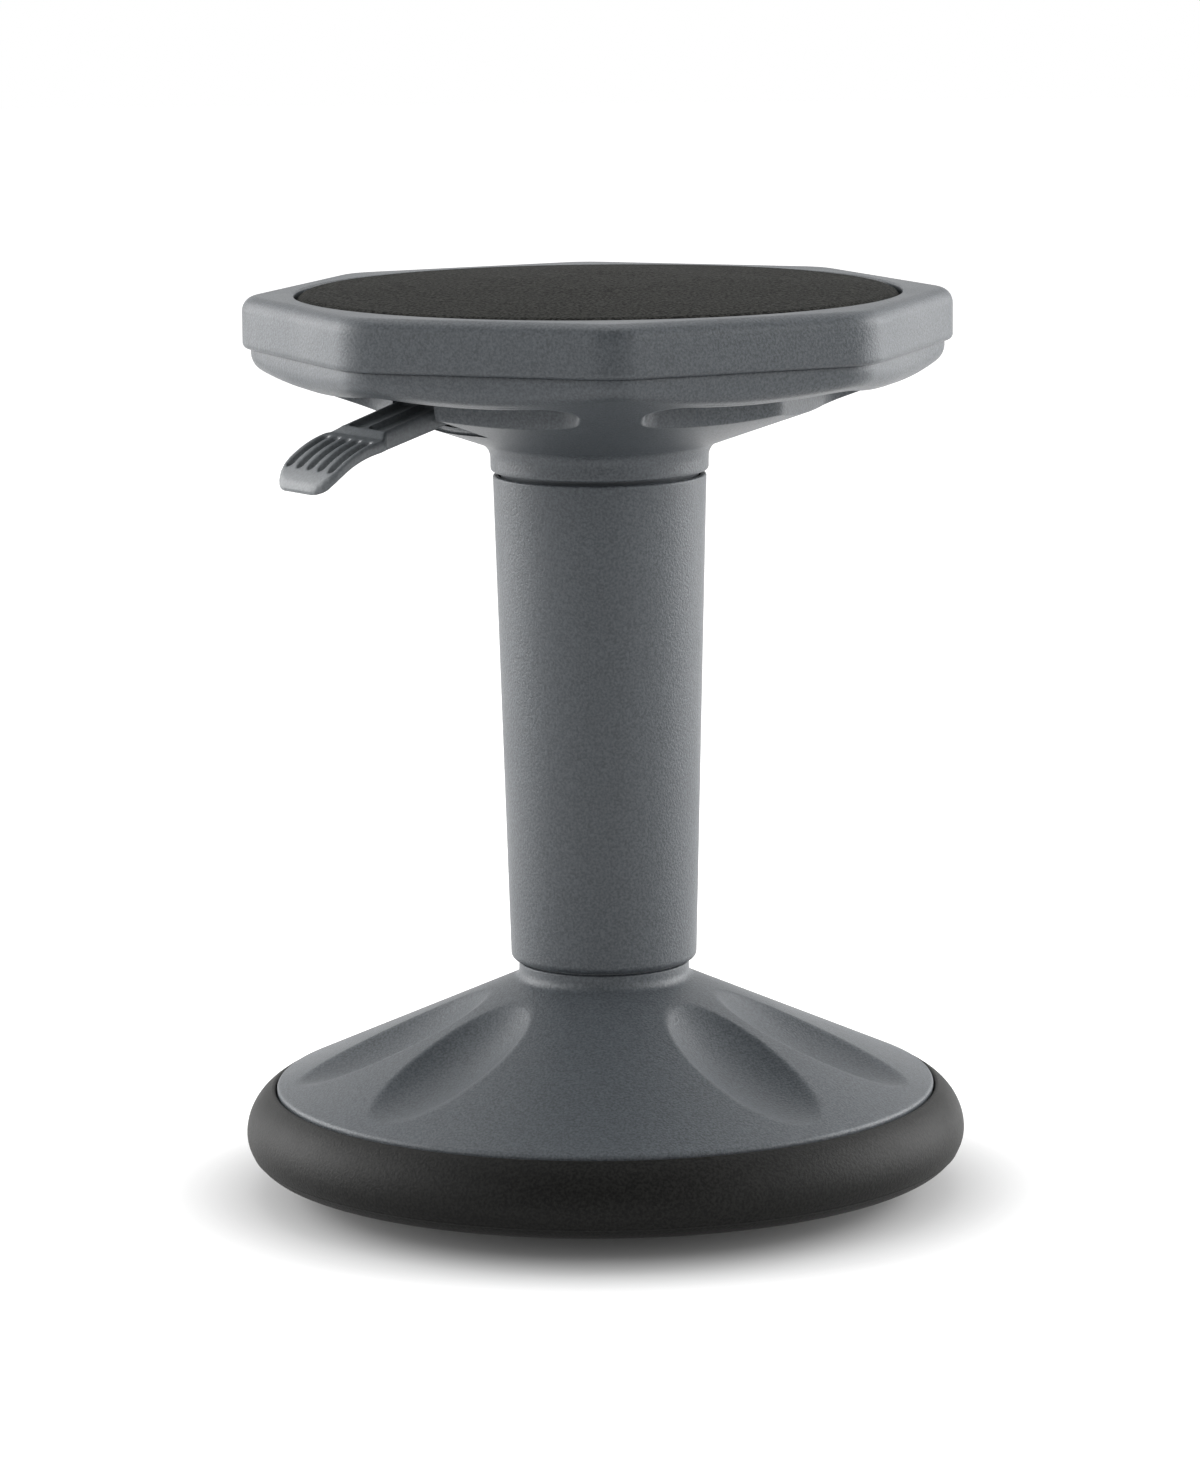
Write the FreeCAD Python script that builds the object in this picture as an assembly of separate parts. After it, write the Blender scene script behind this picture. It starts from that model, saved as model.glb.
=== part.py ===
import FreeCAD, Part
import math
import os
from FreeCAD import Vector

# Wobble stool at its lowest height, in millimetres.
# The origin is the centre of the sole on the floor, +Z is up, and the front is towards -Y.
# An azimuth is counted from the front (-Y) towards +X, in degrees.

# Driving dimensions of the seat
SEAT_APOTHEM = 161.7          # centre to the flat sides of the rounded octagon
SEAT_CORNER = 30.0            # plan radius of the eight corners
FIRST_CORNER = 2.5            # azimuth of the corner nearest the front
RIM_TOP = 445.0
SEAM_Z = 419.5                # parting line between the two seat mouldings
RIM_ROUND = 10.0              # round of the rim's top edge
PAD_RADIUS = 146.4
RECESS_RADIUS = 147.5
RECESS_FLOOR = 437.0
CROWN_TOP = 449.8
LOWER_APOTHEM = 157.7         # the lower moulding is set in from the rim
UNDER_SLOPE = 0.352           # rise of the seat's underside per millimetre outwards
NECK_RADIUS = 53.4
NECK_BOTTOM = 358.0
SHELL_WALL = 3.0

# Driving dimensions of the grip pockets in the seat's underside
POCKET_AZIMUTHS = (-42.5, 47.5, 137.5, -132.5)
POCKET_INNER = 108.0          # apothem of the wall next to the neck
POCKET_OUTER = 145.0          # apothem of the wall next to the rim
SPOKE_HALF = 15.6             # half width of the solid spoke between two pockets
POCKET_ROOF = 412.0

# Driving dimensions of the column and the base
COLUMN_TOP = 356.0
COLUMN_TOP_RADIUS = 52.1
COLUMN_FOOT = 115.5
COLUMN_FOOT_RADIUS = 45.7
COLUMN_WALL = 2.8
COLLAR_RADIUS = 42.0
COLLAR_TOP = 114.5
CONE_START = 107.5            # height of the base cone at the collar
CONE_FALL = 0.446             # fall of the base cone per millimetre outwards
BASE_RADIUS = 162.5
BASE_BOTTOM = 20.0
RING_RADIUS = 177.6
FLUTE_AZIMUTHS = (39, 75, 159, 195, 279, 315)
FLUTE_CENTRE = 105.0          # radius of a flute's middle
FLUTE_HALF_LENGTH = 52.0
FLUTE_HALF_WIDTH = 25.0
FLUTE_DEPTH = 9.0
FLAT_RADIUS = 45.0            # flat middle of the sole
SOLE_FALL = 1700.0            # the dome rises (r^2 - flat^2) / this

# Driving dimensions of the height adjustment
LIFT = 160.0
GAS_RADIUS = 14.0
GAS_BOTTOM = 80.0
GAS_TOP = 404.0
ROD_RADIUS = 5.0
STAND_RADIUS = 25.0
STAND_TOP = 352.0

# Driving dimensions of the release lever
LEVER_AZIMUTH = -53.5
PIVOT_REACH = 30.0            # centre line to the lever's pivot
PIVOT_Z = 407.0
ARM_FALL = 0.277              # fall of the lever per millimetre outwards
BAR_HALF = 18.5
PADDLE_HALF = 24.5
PADDLE_TIP = 176.0

ORIGIN = Vector(0, 0, 0)
UP = Vector(0, 0, 1)
ALONG_Y = Vector(0, 1, 0)


def upright(r, z):
    """Point of a section: r outwards, z up."""
    return Vector(r, 0, z)


def level(z):
    """Maker of points in the horizontal plane at height z."""
    return lambda x, y: Vector(x, y, z)


def turned(shape, azimuth):
    """Copy of a shape drawn along +X, swung to an azimuth."""
    copy = shape.copy()
    copy.rotate(ORIGIN, UP, azimuth - 90)
    return copy


def rounded_face(corners, place=upright):
    """Face inside corners (a, b, radius), each rounded by a tangent arc of its radius."""
    points = [place(a, b) for a, b, radius in corners]
    starts = []
    ends = []
    arcs = []
    for i, (a, b, radius) in enumerate(corners):
        here = points[i]
        back = (points[i - 1] - here).normalize()
        ahead = (points[(i + 1) % len(points)] - here).normalize()
        half = math.acos(max(-1, min(1, back.dot(ahead)))) / 2
        cut = radius / math.tan(half)
        starts.append(here + back * cut)
        ends.append(here + ahead * cut)
        if radius > 0:
            middle = here + (back + ahead).normalize() * (radius / math.sin(half) - radius)
            arcs.append(Part.Arc(starts[i], middle, ends[i]).toShape())
        else:
            arcs.append(None)
    edges = []
    for i in range(len(points)):
        if arcs[i]:
            edges.append(arcs[i])
        following = starts[(i + 1) % len(points)]
        if (following - ends[i]).Length > 1e-6:
            edges.append(Part.makeLine(ends[i], following))
    return Part.Face(Part.Wire(edges))


def chain_face(start, *steps, place=upright):
    """Face round a chain: a step of two numbers is a line, one of four an arc (middle, end)."""
    edges = []
    here = place(*start)
    for step in steps + (start,):
        there = place(*step[-2:])
        if len(step) == 4:
            edges.append(Part.Arc(here, place(*step[:2]), there).toShape())
        elif (there - here).Length > 1e-6:
            edges.append(Part.makeLine(here, there))
        here = there
    return Part.Face(Part.Wire(edges))


def spun(face):
    """Solid made by turning a section about the centre line."""
    return face.revolve(ORIGIN, UP, 360)


def tube(r_in, r_out, z_low, z_high, x=0, y=0):
    """Plain upright tube, or a rod when r_in is 0."""
    solid = Part.makeCylinder(r_out, z_high - z_low, Vector(x, y, z_low))
    if r_in > 0:
        solid = solid.cut(Part.makeCylinder(r_in, z_high - z_low, Vector(x, y, z_low)))
    return solid


def block(x0, x1, y0, y1, z0, z1):
    """Box between two corners."""
    return Part.makeBox(x1 - x0, y1 - y0, z1 - z0, Vector(x0, y0, z0))


def spaced(shape, radius, azimuths):
    """Copies of an upright shape drawn at the centre, set out on a circle."""
    copies = []
    for azimuth in azimuths:
        copy = shape.copy()
        copy.translate(Vector(radius, 0, 0))
        copies.append(turned(copy, azimuth))
    return copies


def screw(shank_radius, head_radius, head_height, seat_z, tip_z):
    """Pan head screw on the centre line: the head rests at seat_z and the tip points to tip_z."""
    out = 1 if tip_z < seat_z else -1
    recess = 0.45 * shank_radius
    face = chain_face((0, tip_z), (shank_radius - 0.6, tip_z), (shank_radius, tip_z + out * 0.8),
                      (shank_radius, seat_z), (head_radius, seat_z),
                      (head_radius, seat_z + out * head_height * 0.4),
                      (head_radius * 0.7, seat_z + out * head_height),
                      (recess, seat_z + out * head_height), (recess, seat_z + out * head_height * 0.4),
                      (0, seat_z + out * head_height * 0.4))
    return spun(face)


def octagon(apothem, corner, z_low, z_high):
    """Upright prism of a rounded octagon, one corner at FIRST_CORNER."""
    circle = apothem / math.cos(math.radians(22.5))
    corners = []
    for k in range(8):
        angle = math.radians(FIRST_CORNER - 90 + 45 * k)
        corners.append((circle * math.cos(angle), circle * math.sin(angle), corner))
    return rounded_face(corners, level(z_low)).extrude(Vector(0, 0, z_high - z_low))


def edges_at(solid, z, tolerance=0.01):
    """Edges that lie flat at one height."""
    found = []
    for edge in solid.Edges:
        if abs(edge.BoundBox.ZMin - z) < tolerance and abs(edge.BoundBox.ZMax - z) < tolerance:
            found.append(edge)
    return found


def fused(first, others):
    """One solid from a solid and a list of others."""
    return first.fuse(others).removeSplitter()


def base_cone(r):
    """Height of the base's outer cone at radius r."""
    return CONE_START - CONE_FALL * (r - COLLAR_RADIUS)


def sole_dome(r):
    """Height of the sole's underside at radius r."""
    return (r * r - FLAT_RADIUS ** 2) / SOLE_FALL


def column_outer(z):
    """Outer radius of the drafted column at height z."""
    draft = (COLUMN_TOP_RADIUS - COLUMN_FOOT_RADIUS) / (COLUMN_TOP - COLUMN_FOOT)
    return COLUMN_FOOT_RADIUS + draft * (z - COLUMN_FOOT)


def underside(r):
    """Height of the seat's outer underside at radius r."""
    return 373.0 + UNDER_SLOPE * (r - 61.0)


def arm_centre(reach):
    """Height of the sloping lever's middle at a reach from the centre line."""
    return PIVOT_Z + 4.5 - ARM_FALL * (reach - 40.0)


# Base moulding
# A conical shell with six scooped flutes in three pairs, ribbed underneath, with a hub for the socket.

def flute(grown):
    """Leaf shaped scoop: a round belly swept along an arc over the cone; grown adds the wall under it."""
    rise = (FLUTE_HALF_WIDTH ** 2 - FLUTE_DEPTH ** 2) / (2 * FLUTE_DEPTH)
    belly = rise + FLUTE_DEPTH + grown
    sweep = (FLUTE_HALF_LENGTH ** 2 + FLUTE_DEPTH ** 2) / (2 * FLUTE_DEPTH)
    side = Vector(0, belly * math.cos(math.radians(15)), rise - belly * math.sin(math.radians(15)))
    other = Vector(0, -side.y, side.z)
    arc = Part.Arc(side, Vector(0, 0, rise - belly), other).toShape()
    section = Part.Face(Part.Wire([arc, Part.makeLine(other, side)]))
    pivot = Vector(0, 0, sweep - FLUTE_DEPTH)
    section.rotate(pivot, ALONG_Y, -30)
    scoop = section.revolve(pivot, ALONG_Y, 60)
    scoop.rotate(ORIGIN, ALONG_Y, math.degrees(math.atan(CONE_FALL)))
    scoop.translate(Vector(FLUTE_CENTRE, 0, base_cone(FLUTE_CENTRE)))
    return scoop


HUB_BORE = 28.0
HUB_WALL = 32.0
HUB_FOOT = 40.0
RIB_FOOT = 30.0
SOLE_SCREW_CIRCLE = 140.0
SOLE_SCREW_AZIMUTHS = range(0, 360, 60)
SOLE_BOSS_TOP = 18.0
SHANK = 1.9
COLUMN_SCREW_CIRCLE = 36.0
COLUMN_SCREW_AZIMUTHS = (45, 135, 225, 315)


def base_shell():
    outer = spun(rounded_face([
        (0, COLLAR_TOP, 0), (COLLAR_RADIUS, COLLAR_TOP, 0), (COLLAR_RADIUS, CONE_START, 5),
        (BASE_RADIUS, base_cone(BASE_RADIUS), 3), (BASE_RADIUS, BASE_BOTTOM, 0), (0, BASE_BOTTOM, 0)]))
    drop = SHELL_WALL * math.sqrt(1 + CONE_FALL ** 2)
    shoulder = COLLAR_TOP - 12.5
    shoulder_r = COLLAR_RADIUS + (CONE_START - drop - shoulder) / CONE_FALL
    inside = BASE_RADIUS - SHELL_WALL
    hollow = spun(chain_face(
        (HUB_WALL, BASE_BOTTOM - 1), (HUB_WALL, shoulder), (shoulder_r, shoulder),
        (inside - 3, base_cone(inside - 3) - drop), (inside, base_cone(inside) - drop - 3),
        (inside, BASE_BOTTOM - 1)))
    under_hub = tube(0, HUB_WALL, BASE_BOTTOM - 1, HUB_FOOT)
    shell = outer.cut([hollow, under_hub])
    ribs = []
    for azimuth in SOLE_SCREW_AZIMUTHS:
        rib = block(HUB_WALL - 1, inside + 1, -1.3, 1.3, RIB_FOOT, COLLAR_TOP)
        ribs.append(turned(rib, azimuth))
    bosses = spaced(tube(0, 5.5, RIB_FOOT, 90), SOLE_SCREW_CIRCLE, SOLE_SCREW_AZIMUTHS)
    backs = [turned(flute(SHELL_WALL), azimuth) for azimuth in FLUTE_AZIMUTHS]
    inner_works = ribs[0].fuse(ribs[1:] + bosses + backs).common(outer)
    feet = spaced(tube(0, 5.5, SOLE_BOSS_TOP, RIB_FOOT + 1), SOLE_SCREW_CIRCLE, SOLE_SCREW_AZIMUTHS)
    tongue = tube(BASE_RADIUS - 1, 167, 30, 34)
    shell = shell.fuse([inner_works, tongue] + feet)
    cuts = [turned(flute(0), azimuth) for azimuth in FLUTE_AZIMUTHS]
    cuts.append(tube(0, HUB_BORE, BASE_BOTTOM, COLLAR_TOP + 1))
    cuts += spaced(tube(0, SHANK + 0.05, SOLE_BOSS_TOP - 1, 42), SOLE_SCREW_CIRCLE, SOLE_SCREW_AZIMUTHS)
    cuts += spaced(tube(0, SHANK + 0.05, shoulder - 1, COLLAR_TOP + 1),
                   COLUMN_SCREW_CIRCLE, COLUMN_SCREW_AZIMUTHS)
    return shell.cut(cuts).removeSplitter()


# Rubber ring
# Soft tyre round the base's edge, hooked on the moulding's tongue, with a bead beside the plastic.

SOLE_EDGE = 165.0


def rubber_ring():
    return spun(chain_face(
        (SOLE_EDGE, sole_dome(SOLE_EDGE)), (SOLE_EDGE, BASE_BOTTOM), (BASE_RADIUS, BASE_BOTTOM),
        (BASE_RADIUS, 30), (167, 30), (167, 34), (BASE_RADIUS, 34), (BASE_RADIUS, 46.5),
        (163.0, 50.0), (164.0, 51.7), (165.6, 51.6), (173.4, 44.2, RING_RADIUS, 32.5),
        (176.0, 23.4, 170.6, 17.0), (168.2, 15.7, SOLE_EDGE, sole_dome(SOLE_EDGE))))


# Sole
# Domed plate that the stool stands and rocks on; only its flat middle touches the floor at rest.

def sole_plate():
    wall = 3.5
    lift = (SOLE_EDGE ** 2 + sole_dome(SOLE_EDGE) ** 2 - FLAT_RADIUS ** 2) / (2 * sole_dome(SOLE_EDGE))
    middle = 0.5 * (FLAT_RADIUS + SOLE_EDGE)
    middle_z = lift - math.sqrt(lift ** 2 + FLAT_RADIUS ** 2 - middle ** 2)
    inner_edge = 156.3
    plate = spun(chain_face(
        (0, 0), (FLAT_RADIUS, 0), (middle, middle_z, SOLE_EDGE, sole_dome(SOLE_EDGE)),
        (SOLE_EDGE, BASE_BOTTOM), (159.3, BASE_BOTTOM), (159.3, 26), (inner_edge, 26),
        (inner_edge, sole_dome(inner_edge) + wall),
        (100, sole_dome(100) + wall), (FLAT_RADIUS, wall), (0, wall)))
    ribs = [tube(70, 72.6, 3.5, 9), tube(112, 114.6, 8, 13)]
    bosses = spaced(tube(0, 7, 11, SOLE_BOSS_TOP), SOLE_SCREW_CIRCLE, SOLE_SCREW_AZIMUTHS)
    plate = fused(plate, ribs + bosses)
    holes = spaced(tube(0, 2.1, 5, 30), SOLE_SCREW_CIRCLE, SOLE_SCREW_AZIMUTHS)
    holes += spaced(tube(0, 4.6, 5, 14.5), SOLE_SCREW_CIRCLE, SOLE_SCREW_AZIMUTHS)
    return plate.cut(holes)


def sole_screws():
    one = screw(SHANK, 4.2, 2.4, 14.5, 36)
    return Part.makeCompound(spaced(one, SOLE_SCREW_CIRCLE, SOLE_SCREW_AZIMUTHS))


# Taper joint of the stand tube
# A steel socket in the hub holds the tube of the gas lift by a taper of about one degree.

TAPER_TOP = 112.0
STAND_FOOT = 42.0
TAPER_LOSS = 1.25


def stand_outer(z):
    """Outer radius of the stand tube on its taper."""
    return STAND_RADIUS - TAPER_LOSS * max(0, (TAPER_TOP - z) / (TAPER_TOP - STAND_FOOT))


def cone_socket():
    return spun(chain_face(
        (stand_outer(STAND_FOOT), STAND_FOOT), (stand_outer(110), 110), (HUB_BORE - 0.1, 110),
        (HUB_BORE - 0.1, HUB_FOOT), (HUB_WALL - 1.3, HUB_FOOT), (HUB_WALL - 1.3, HUB_FOOT - 2),
        (stand_outer(STAND_FOOT), HUB_FOOT - 2)))


def stand_tube():
    wall = 1.8
    floor = STAND_FOOT + 4
    return spun(chain_face(
        (4.3, STAND_FOOT), (stand_outer(STAND_FOOT), STAND_FOOT), (STAND_RADIUS, TAPER_TOP),
        (STAND_RADIUS, STAND_TOP - 1), (STAND_RADIUS - 1, STAND_TOP),
        (STAND_RADIUS - wall, STAND_TOP), (STAND_RADIUS - wall, TAPER_TOP),
        (stand_outer(floor) - wall, floor), (4.3, floor)))


def guide_bush():
    running = GAS_RADIUS + 0.06
    skirt = STAND_RADIUS - 1.8
    return spun(chain_face(
        (running, 282), (skirt, 282), (skirt, STAND_TOP), (STAND_RADIUS - 0.4, STAND_TOP),
        (STAND_RADIUS - 0.4, STAND_TOP + 2), (running + 3, STAND_TOP + 2.6), (running, STAND_TOP + 1)))


# Thrust bearing at the foot of the stand tube
# The rod hangs through the tube's floor, so the seat turns on these balls.

def bearing_lower_race():
    return spun(chain_face((5.5, 46), (12, 46), (12, 48), (10.2, 48), (9, 47.7), (7.8, 48), (5.5, 48)))


def bearing_balls():
    ball = Part.makeSphere(1.5, Vector(0, 0, 49.5))
    return Part.makeCompound(spaced(ball, 9, range(0, 360, 45)))


def bearing_upper_race():
    return spun(chain_face((4.05, 51.2), (12, 51.2), (12, 53), (4.05, 53)))


# Piston rod with its clip, piston, seal and end stop

PISTON_FOOT = 265.0


def piston_rod():
    return spun(chain_face(
        (0, 38), (3.4, 38), (4, 38.6), (4, 40.2), (3, 40.2), (3, 41.8), (4, 41.8), (4, 53),
        (ROD_RADIUS, 53), (ROD_RADIUS, PISTON_FOOT), (4, PISTON_FOOT), (4, PISTON_FOOT + 16), (0, PISTON_FOOT + 16)))


def rod_clip():
    ring = tube(3.05, 7, 40.4, 41.6)
    return ring.cut(block(0, 8, -1.6, 1.6, 40, 42))


def piston():
    return spun(chain_face(
        (4.02, PISTON_FOOT), (12.1, PISTON_FOOT), (12.1, 269), (10.4, 269), (10.4, 273), (12.1, 273),
        (12.1, 276), (7, 276), (7, 279), (4.02, 279)))


def piston_seal():
    return spun(chain_face((10.45, 269.2), (12.0, 269.2), (12.35, 270.4), (12.35, 271.6), (12.0, 272.8), (10.45, 272.8)))


def rubber_bumper():
    return spun(chain_face((6.5, 53), (12.5, 53), (11.3, 77.8), (9.8, 79.4), (7.2, 79.4), (6.5, 78.6)))


# Pressure tube of the gas lift, with its guide, seal and release valve

def pressure_tube():
    taper_start = 372.0
    inner = GAS_RADIUS - 1.6
    return spun(chain_face(
        (11.2, GAS_BOTTOM), (GAS_RADIUS - 0.8, GAS_BOTTOM), (GAS_RADIUS, GAS_BOTTOM + 0.8), (GAS_RADIUS, taper_start),
        (GAS_RADIUS - 0.8, GAS_TOP), (4.3, GAS_TOP), (4.3, GAS_TOP - 3), (inner - 0.6, GAS_TOP - 3),
        (inner, GAS_TOP - 30), (inner, GAS_BOTTOM + 3), (11.2, GAS_BOTTOM + 2)))


def rod_guide():
    return tube(ROD_RADIUS + 0.05, GAS_RADIUS - 1.65, 83.2, 97)


def rod_seal():
    return spun(chain_face((ROD_RADIUS + 0.1, 97.2), (12.3, 97.2), (12.3, 102.5), (10, 102.5), (9, 99.5),
                           (7, 99.5), (6, 102.5), (ROD_RADIUS + 0.1, 102.5)))


def valve_body():
    return spun(chain_face((4.3, 380), (8, 376), (11.7, 380), (11.7, 400.8), (4.3, 400.8)))


def release_pin():
    return spun(chain_face((0, 384), (2.6, 384), (4, 386), (4, 408.2), (3.4, 409.2), (1.8, 409.8), (0, 409.8)))


# Steel mount under the seat
# The hub grips the gas lift by its taper and is welded through a folded channel under the plate.

PLATE_Z = 416.0
PLATE_SCREW_PLACES = ((62, 62), (-62, 62), (-62, -62), (62, -62))
INSERT_TOP = 431.5
CHANNEL_HALF = 27.0


def cone_hub():
    bore_low = GAS_RADIUS - 0.8 * (374 - 372) / 32.0
    bore_high = GAS_RADIUS - 0.8 * (403 - 372) / 32.0
    return spun(chain_face((bore_low, 374), (17.5, 374), (18.5, 375), (18.5, 403), (bore_high, 403)))


def lift_housing():
    wall = 2.5
    foot = 393.5
    section = rounded_face([
        (-CHANNEL_HALF, PLATE_Z, 0), (-CHANNEL_HALF, foot, 4), (CHANNEL_HALF, foot, 4), (CHANNEL_HALF, PLATE_Z, 0),
        (CHANNEL_HALF - wall, PLATE_Z, 0), (CHANNEL_HALF - wall, foot + wall, 1.5),
        (-CHANNEL_HALF + wall, foot + wall, 1.5), (-CHANNEL_HALF + wall, PLATE_Z, 0)],
        lambda y, z: Vector(-46, y, z))
    channel = section.extrude(Vector(92, 0, 0))
    pin_hole = Part.makeCylinder(2.55, 70, Vector(PIVOT_REACH, -35, PIVOT_Z), ALONG_Y)
    return turned(channel.cut([tube(0, 18.5, foot - 1, foot + 4), pin_hole]), LEVER_AZIMUTH)


def seat_plate():
    half = 80
    plate = rounded_face([(half, half, 16), (-half, half, 16), (-half, -half, 16), (half, -half, 16)],
                         level(PLATE_Z)).extrude(Vector(0, 0, 3))
    holes = [tube(0, 3.2, PLATE_Z - 1, PLATE_Z + 4, x, y) for x, y in PLATE_SCREW_PLACES]
    slot = rounded_face([(-45, 46, 5), (45, 46, 5), (45, 58, 5), (-45, 58, 5)], level(PLATE_Z - 1))
    for k in range(4):
        opening = slot.extrude(Vector(0, 0, 5))
        opening.rotate(ORIGIN, UP, 90 * k)
        holes.append(opening)
    return turned(plate.cut(holes), LEVER_AZIMUTH)


def plate_screws():
    one = screw(2.95, 5.4, 3, PLATE_Z, PLATE_Z + 14)
    return Part.makeCompound([turned(one.translated(Vector(x, y, 0)), LEVER_AZIMUTH)
                              for x, y in PLATE_SCREW_PLACES])


def threaded_inserts():
    one = tube(3.0, 4.4, PLATE_Z + 3.5, INSERT_TOP)
    return Part.makeCompound([turned(one.translated(Vector(x, y, 0)), LEVER_AZIMUTH)
                              for x, y in PLATE_SCREW_PLACES])


# Seat top moulding
# Octagonal rim with a round recess for the pad, hollow and ribbed underneath.

SHELL_SCREW_CIRCLE = 126.0
SHELL_SCREW_SPREAD = 24.0
SHELL_SCREW_AZIMUTHS = [azimuth + side * SHELL_SCREW_SPREAD for azimuth in POCKET_AZIMUTHS for side in (-1, 1)]
ROOF_TOP = POCKET_ROOF + SHELL_WALL


def seat_top_shell():
    rim = octagon(SEAT_APOTHEM, SEAT_CORNER, SEAM_Z, RIM_TOP)
    rim = rim.makeFillet(RIM_ROUND, edges_at(rim, RIM_TOP))
    rim = rim.makeFillet(3.0, edges_at(rim, SEAM_Z))
    recess = spun(chain_face(
        (0, RECESS_FLOOR), (RECESS_RADIUS, RECESS_FLOOR), (RECESS_RADIUS, RIM_TOP - 1.2),
        (RECESS_RADIUS + 1.2, RIM_TOP),
        (RECESS_RADIUS + 1.2, RIM_TOP + 1), (0, RIM_TOP + 1)))
    ceiling = RECESS_FLOOR - SHELL_WALL
    hollow = octagon(SEAT_APOTHEM - SHELL_WALL, SEAT_CORNER - SHELL_WALL, SEAM_Z - 1, RIM_TOP - SHELL_WALL)
    hollow = hollow.makeChamfer(4.0, edges_at(hollow, RIM_TOP - SHELL_WALL))
    hollow = hollow.cut(tube(0, RECESS_RADIUS + SHELL_WALL, ceiling, RIM_TOP))
    ribs = []
    for k in range(8):
        ribs.append(turned(block(8, SEAT_APOTHEM - 1, -1.25, 1.25, 423, ceiling + 1), 22.5 + FIRST_CORNER + 45 * k))
    ribs.append(tube(104, 106.5, 423, ceiling + 1))
    bosses = [turned(tube(0, 8, PLATE_Z + 3, ceiling + 1, x, y), LEVER_AZIMUTH) for x, y in PLATE_SCREW_PLACES]
    bosses += spaced(tube(0, 5.5, ROOF_TOP, ceiling + 1), SHELL_SCREW_CIRCLE, SHELL_SCREW_AZIMUTHS)
    shell = rim.cut([recess, hollow]).fuse(ribs + bosses)
    holes = [turned(tube(0, 4.4, PLATE_Z + 2, INSERT_TOP, x, y), LEVER_AZIMUTH) for x, y in PLATE_SCREW_PLACES]
    holes += spaced(tube(0, SHANK + 0.05, ROOF_TOP - 1, ceiling - 1), SHELL_SCREW_CIRCLE, SHELL_SCREW_AZIMUTHS)
    return shell.cut(holes).removeSplitter()


def seat_pad():
    crown_edge = PAD_RADIUS - 7.5
    crown_drop = 4.2
    ball = (crown_edge ** 2 + crown_drop ** 2) / (2 * crown_drop)
    middle = 0.5 * crown_edge
    return spun(chain_face(
        (0, RECESS_FLOOR), (PAD_RADIUS - 1.6, RECESS_FLOOR),
        (PAD_RADIUS, 440.2, PAD_RADIUS - 1.0, 443.2),
        (PAD_RADIUS - 3.3, 445.0, crown_edge, CROWN_TOP - crown_drop),
        (middle, CROWN_TOP - ball + math.sqrt(ball ** 2 - middle ** 2), 0, CROWN_TOP)))


# Seat lower moulding
# A shallow funnel cut to the octagon, with four grip pockets wrapped round its corners and a lever window.

def pocket(grown):
    """Band between two octagon walls round one corner, drawn along +X; grown adds the wall round it."""
    bend = math.radians(22.5)
    ends = []
    for wall in (POCKET_OUTER + grown, POCKET_INNER - grown):
        reach = (wall - (SPOKE_HALF - grown) * math.sin(bend)) / math.cos(bend)
        side = math.sqrt(0.5)
        inset = SPOKE_HALF - grown
        ends.append((reach * side + inset * side, reach * side - inset * side))
    outer_corner = (POCKET_OUTER + grown) / math.cos(bend)
    inner_corner = (POCKET_INNER - grown) / math.cos(bend)
    corners = [
        (outer_corner, 0, 24 + grown), (ends[0][0], ends[0][1], 15 + grown),
        (ends[1][0], ends[1][1], 13 + grown), (inner_corner, 0, max(7 - grown, 3)),
        (ends[1][0], -ends[1][1], 13 + grown), (ends[0][0], -ends[0][1], 15 + grown)]
    roof = POCKET_ROOF + grown
    return rounded_face(corners, level(340)).extrude(Vector(0, 0, roof - 340))


def seat_lower_shell():
    far = 200.0
    funnel = spun(rounded_face([
        (0, 430, 0), (far, 430, 0), (far, underside(far), 0), (NECK_RADIUS, underside(NECK_RADIUS), 8),
        (NECK_RADIUS - 0.2, NECK_BOTTOM + 1.2, 0), (NECK_RADIUS - 1.4, NECK_BOTTOM, 0), (0, NECK_BOTTOM, 0)]))
    outer = funnel.common(octagon(LOWER_APOTHEM, SEAT_CORNER - 4, 350, SEAM_Z))
    rim_edges = []
    for edge in outer.Edges:
        box = edge.BoundBox
        middle = edge.valueAt(0.5 * (edge.FirstParameter + edge.LastParameter))
        if box.ZMin > 400 and box.ZMax < SEAM_Z - 1 and math.hypot(middle.x, middle.y) > 150:
            rim_edges.append(edge)
    outer = outer.makeFillet(9.0, rim_edges)
    rise = SHELL_WALL * math.sqrt(1 + UNDER_SLOPE ** 2)
    ledge = 376.0
    ledge_r = 61 + (ledge - 373 - rise) / UNDER_SLOPE
    hollow = spun(rounded_face([
        (0, 430, 0), (far, 430, 0), (far, underside(far) + rise, 0), (ledge_r, ledge, 0), (0, ledge, 0)]))
    hollow = hollow.common(octagon(LOWER_APOTHEM - SHELL_WALL, SEAT_CORNER - 7, 350, SEAM_Z + 1))
    backs = [turned(pocket(SHELL_WALL), azimuth) for azimuth in POCKET_AZIMUTHS]
    backs = backs[0].fuse(backs[1:]).common(outer)
    shell = outer.cut(hollow).fuse(backs)
    cuts = [turned(pocket(0), azimuth) for azimuth in POCKET_AZIMUTHS]
    cuts.append(tube(0, 49.0, 340, 380))
    window = rounded_face([(84, -22, 8), (130, -22, 3), (130, 22, 3), (84, 22, 8)], level(365))
    cuts.append(turned(window.extrude(Vector(0, 0, 408.8 - 365)), LEVER_AZIMUTH))
    cuts += spaced(tube(0, 2.1, 400, 420), SHELL_SCREW_CIRCLE, SHELL_SCREW_AZIMUTHS)
    cuts += spaced(tube(0, SHANK, 368, 380), SLEEVE_SCREW_CIRCLE, SLEEVE_SCREW_AZIMUTHS)
    return shell.cut(cuts).removeSplitter()


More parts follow.
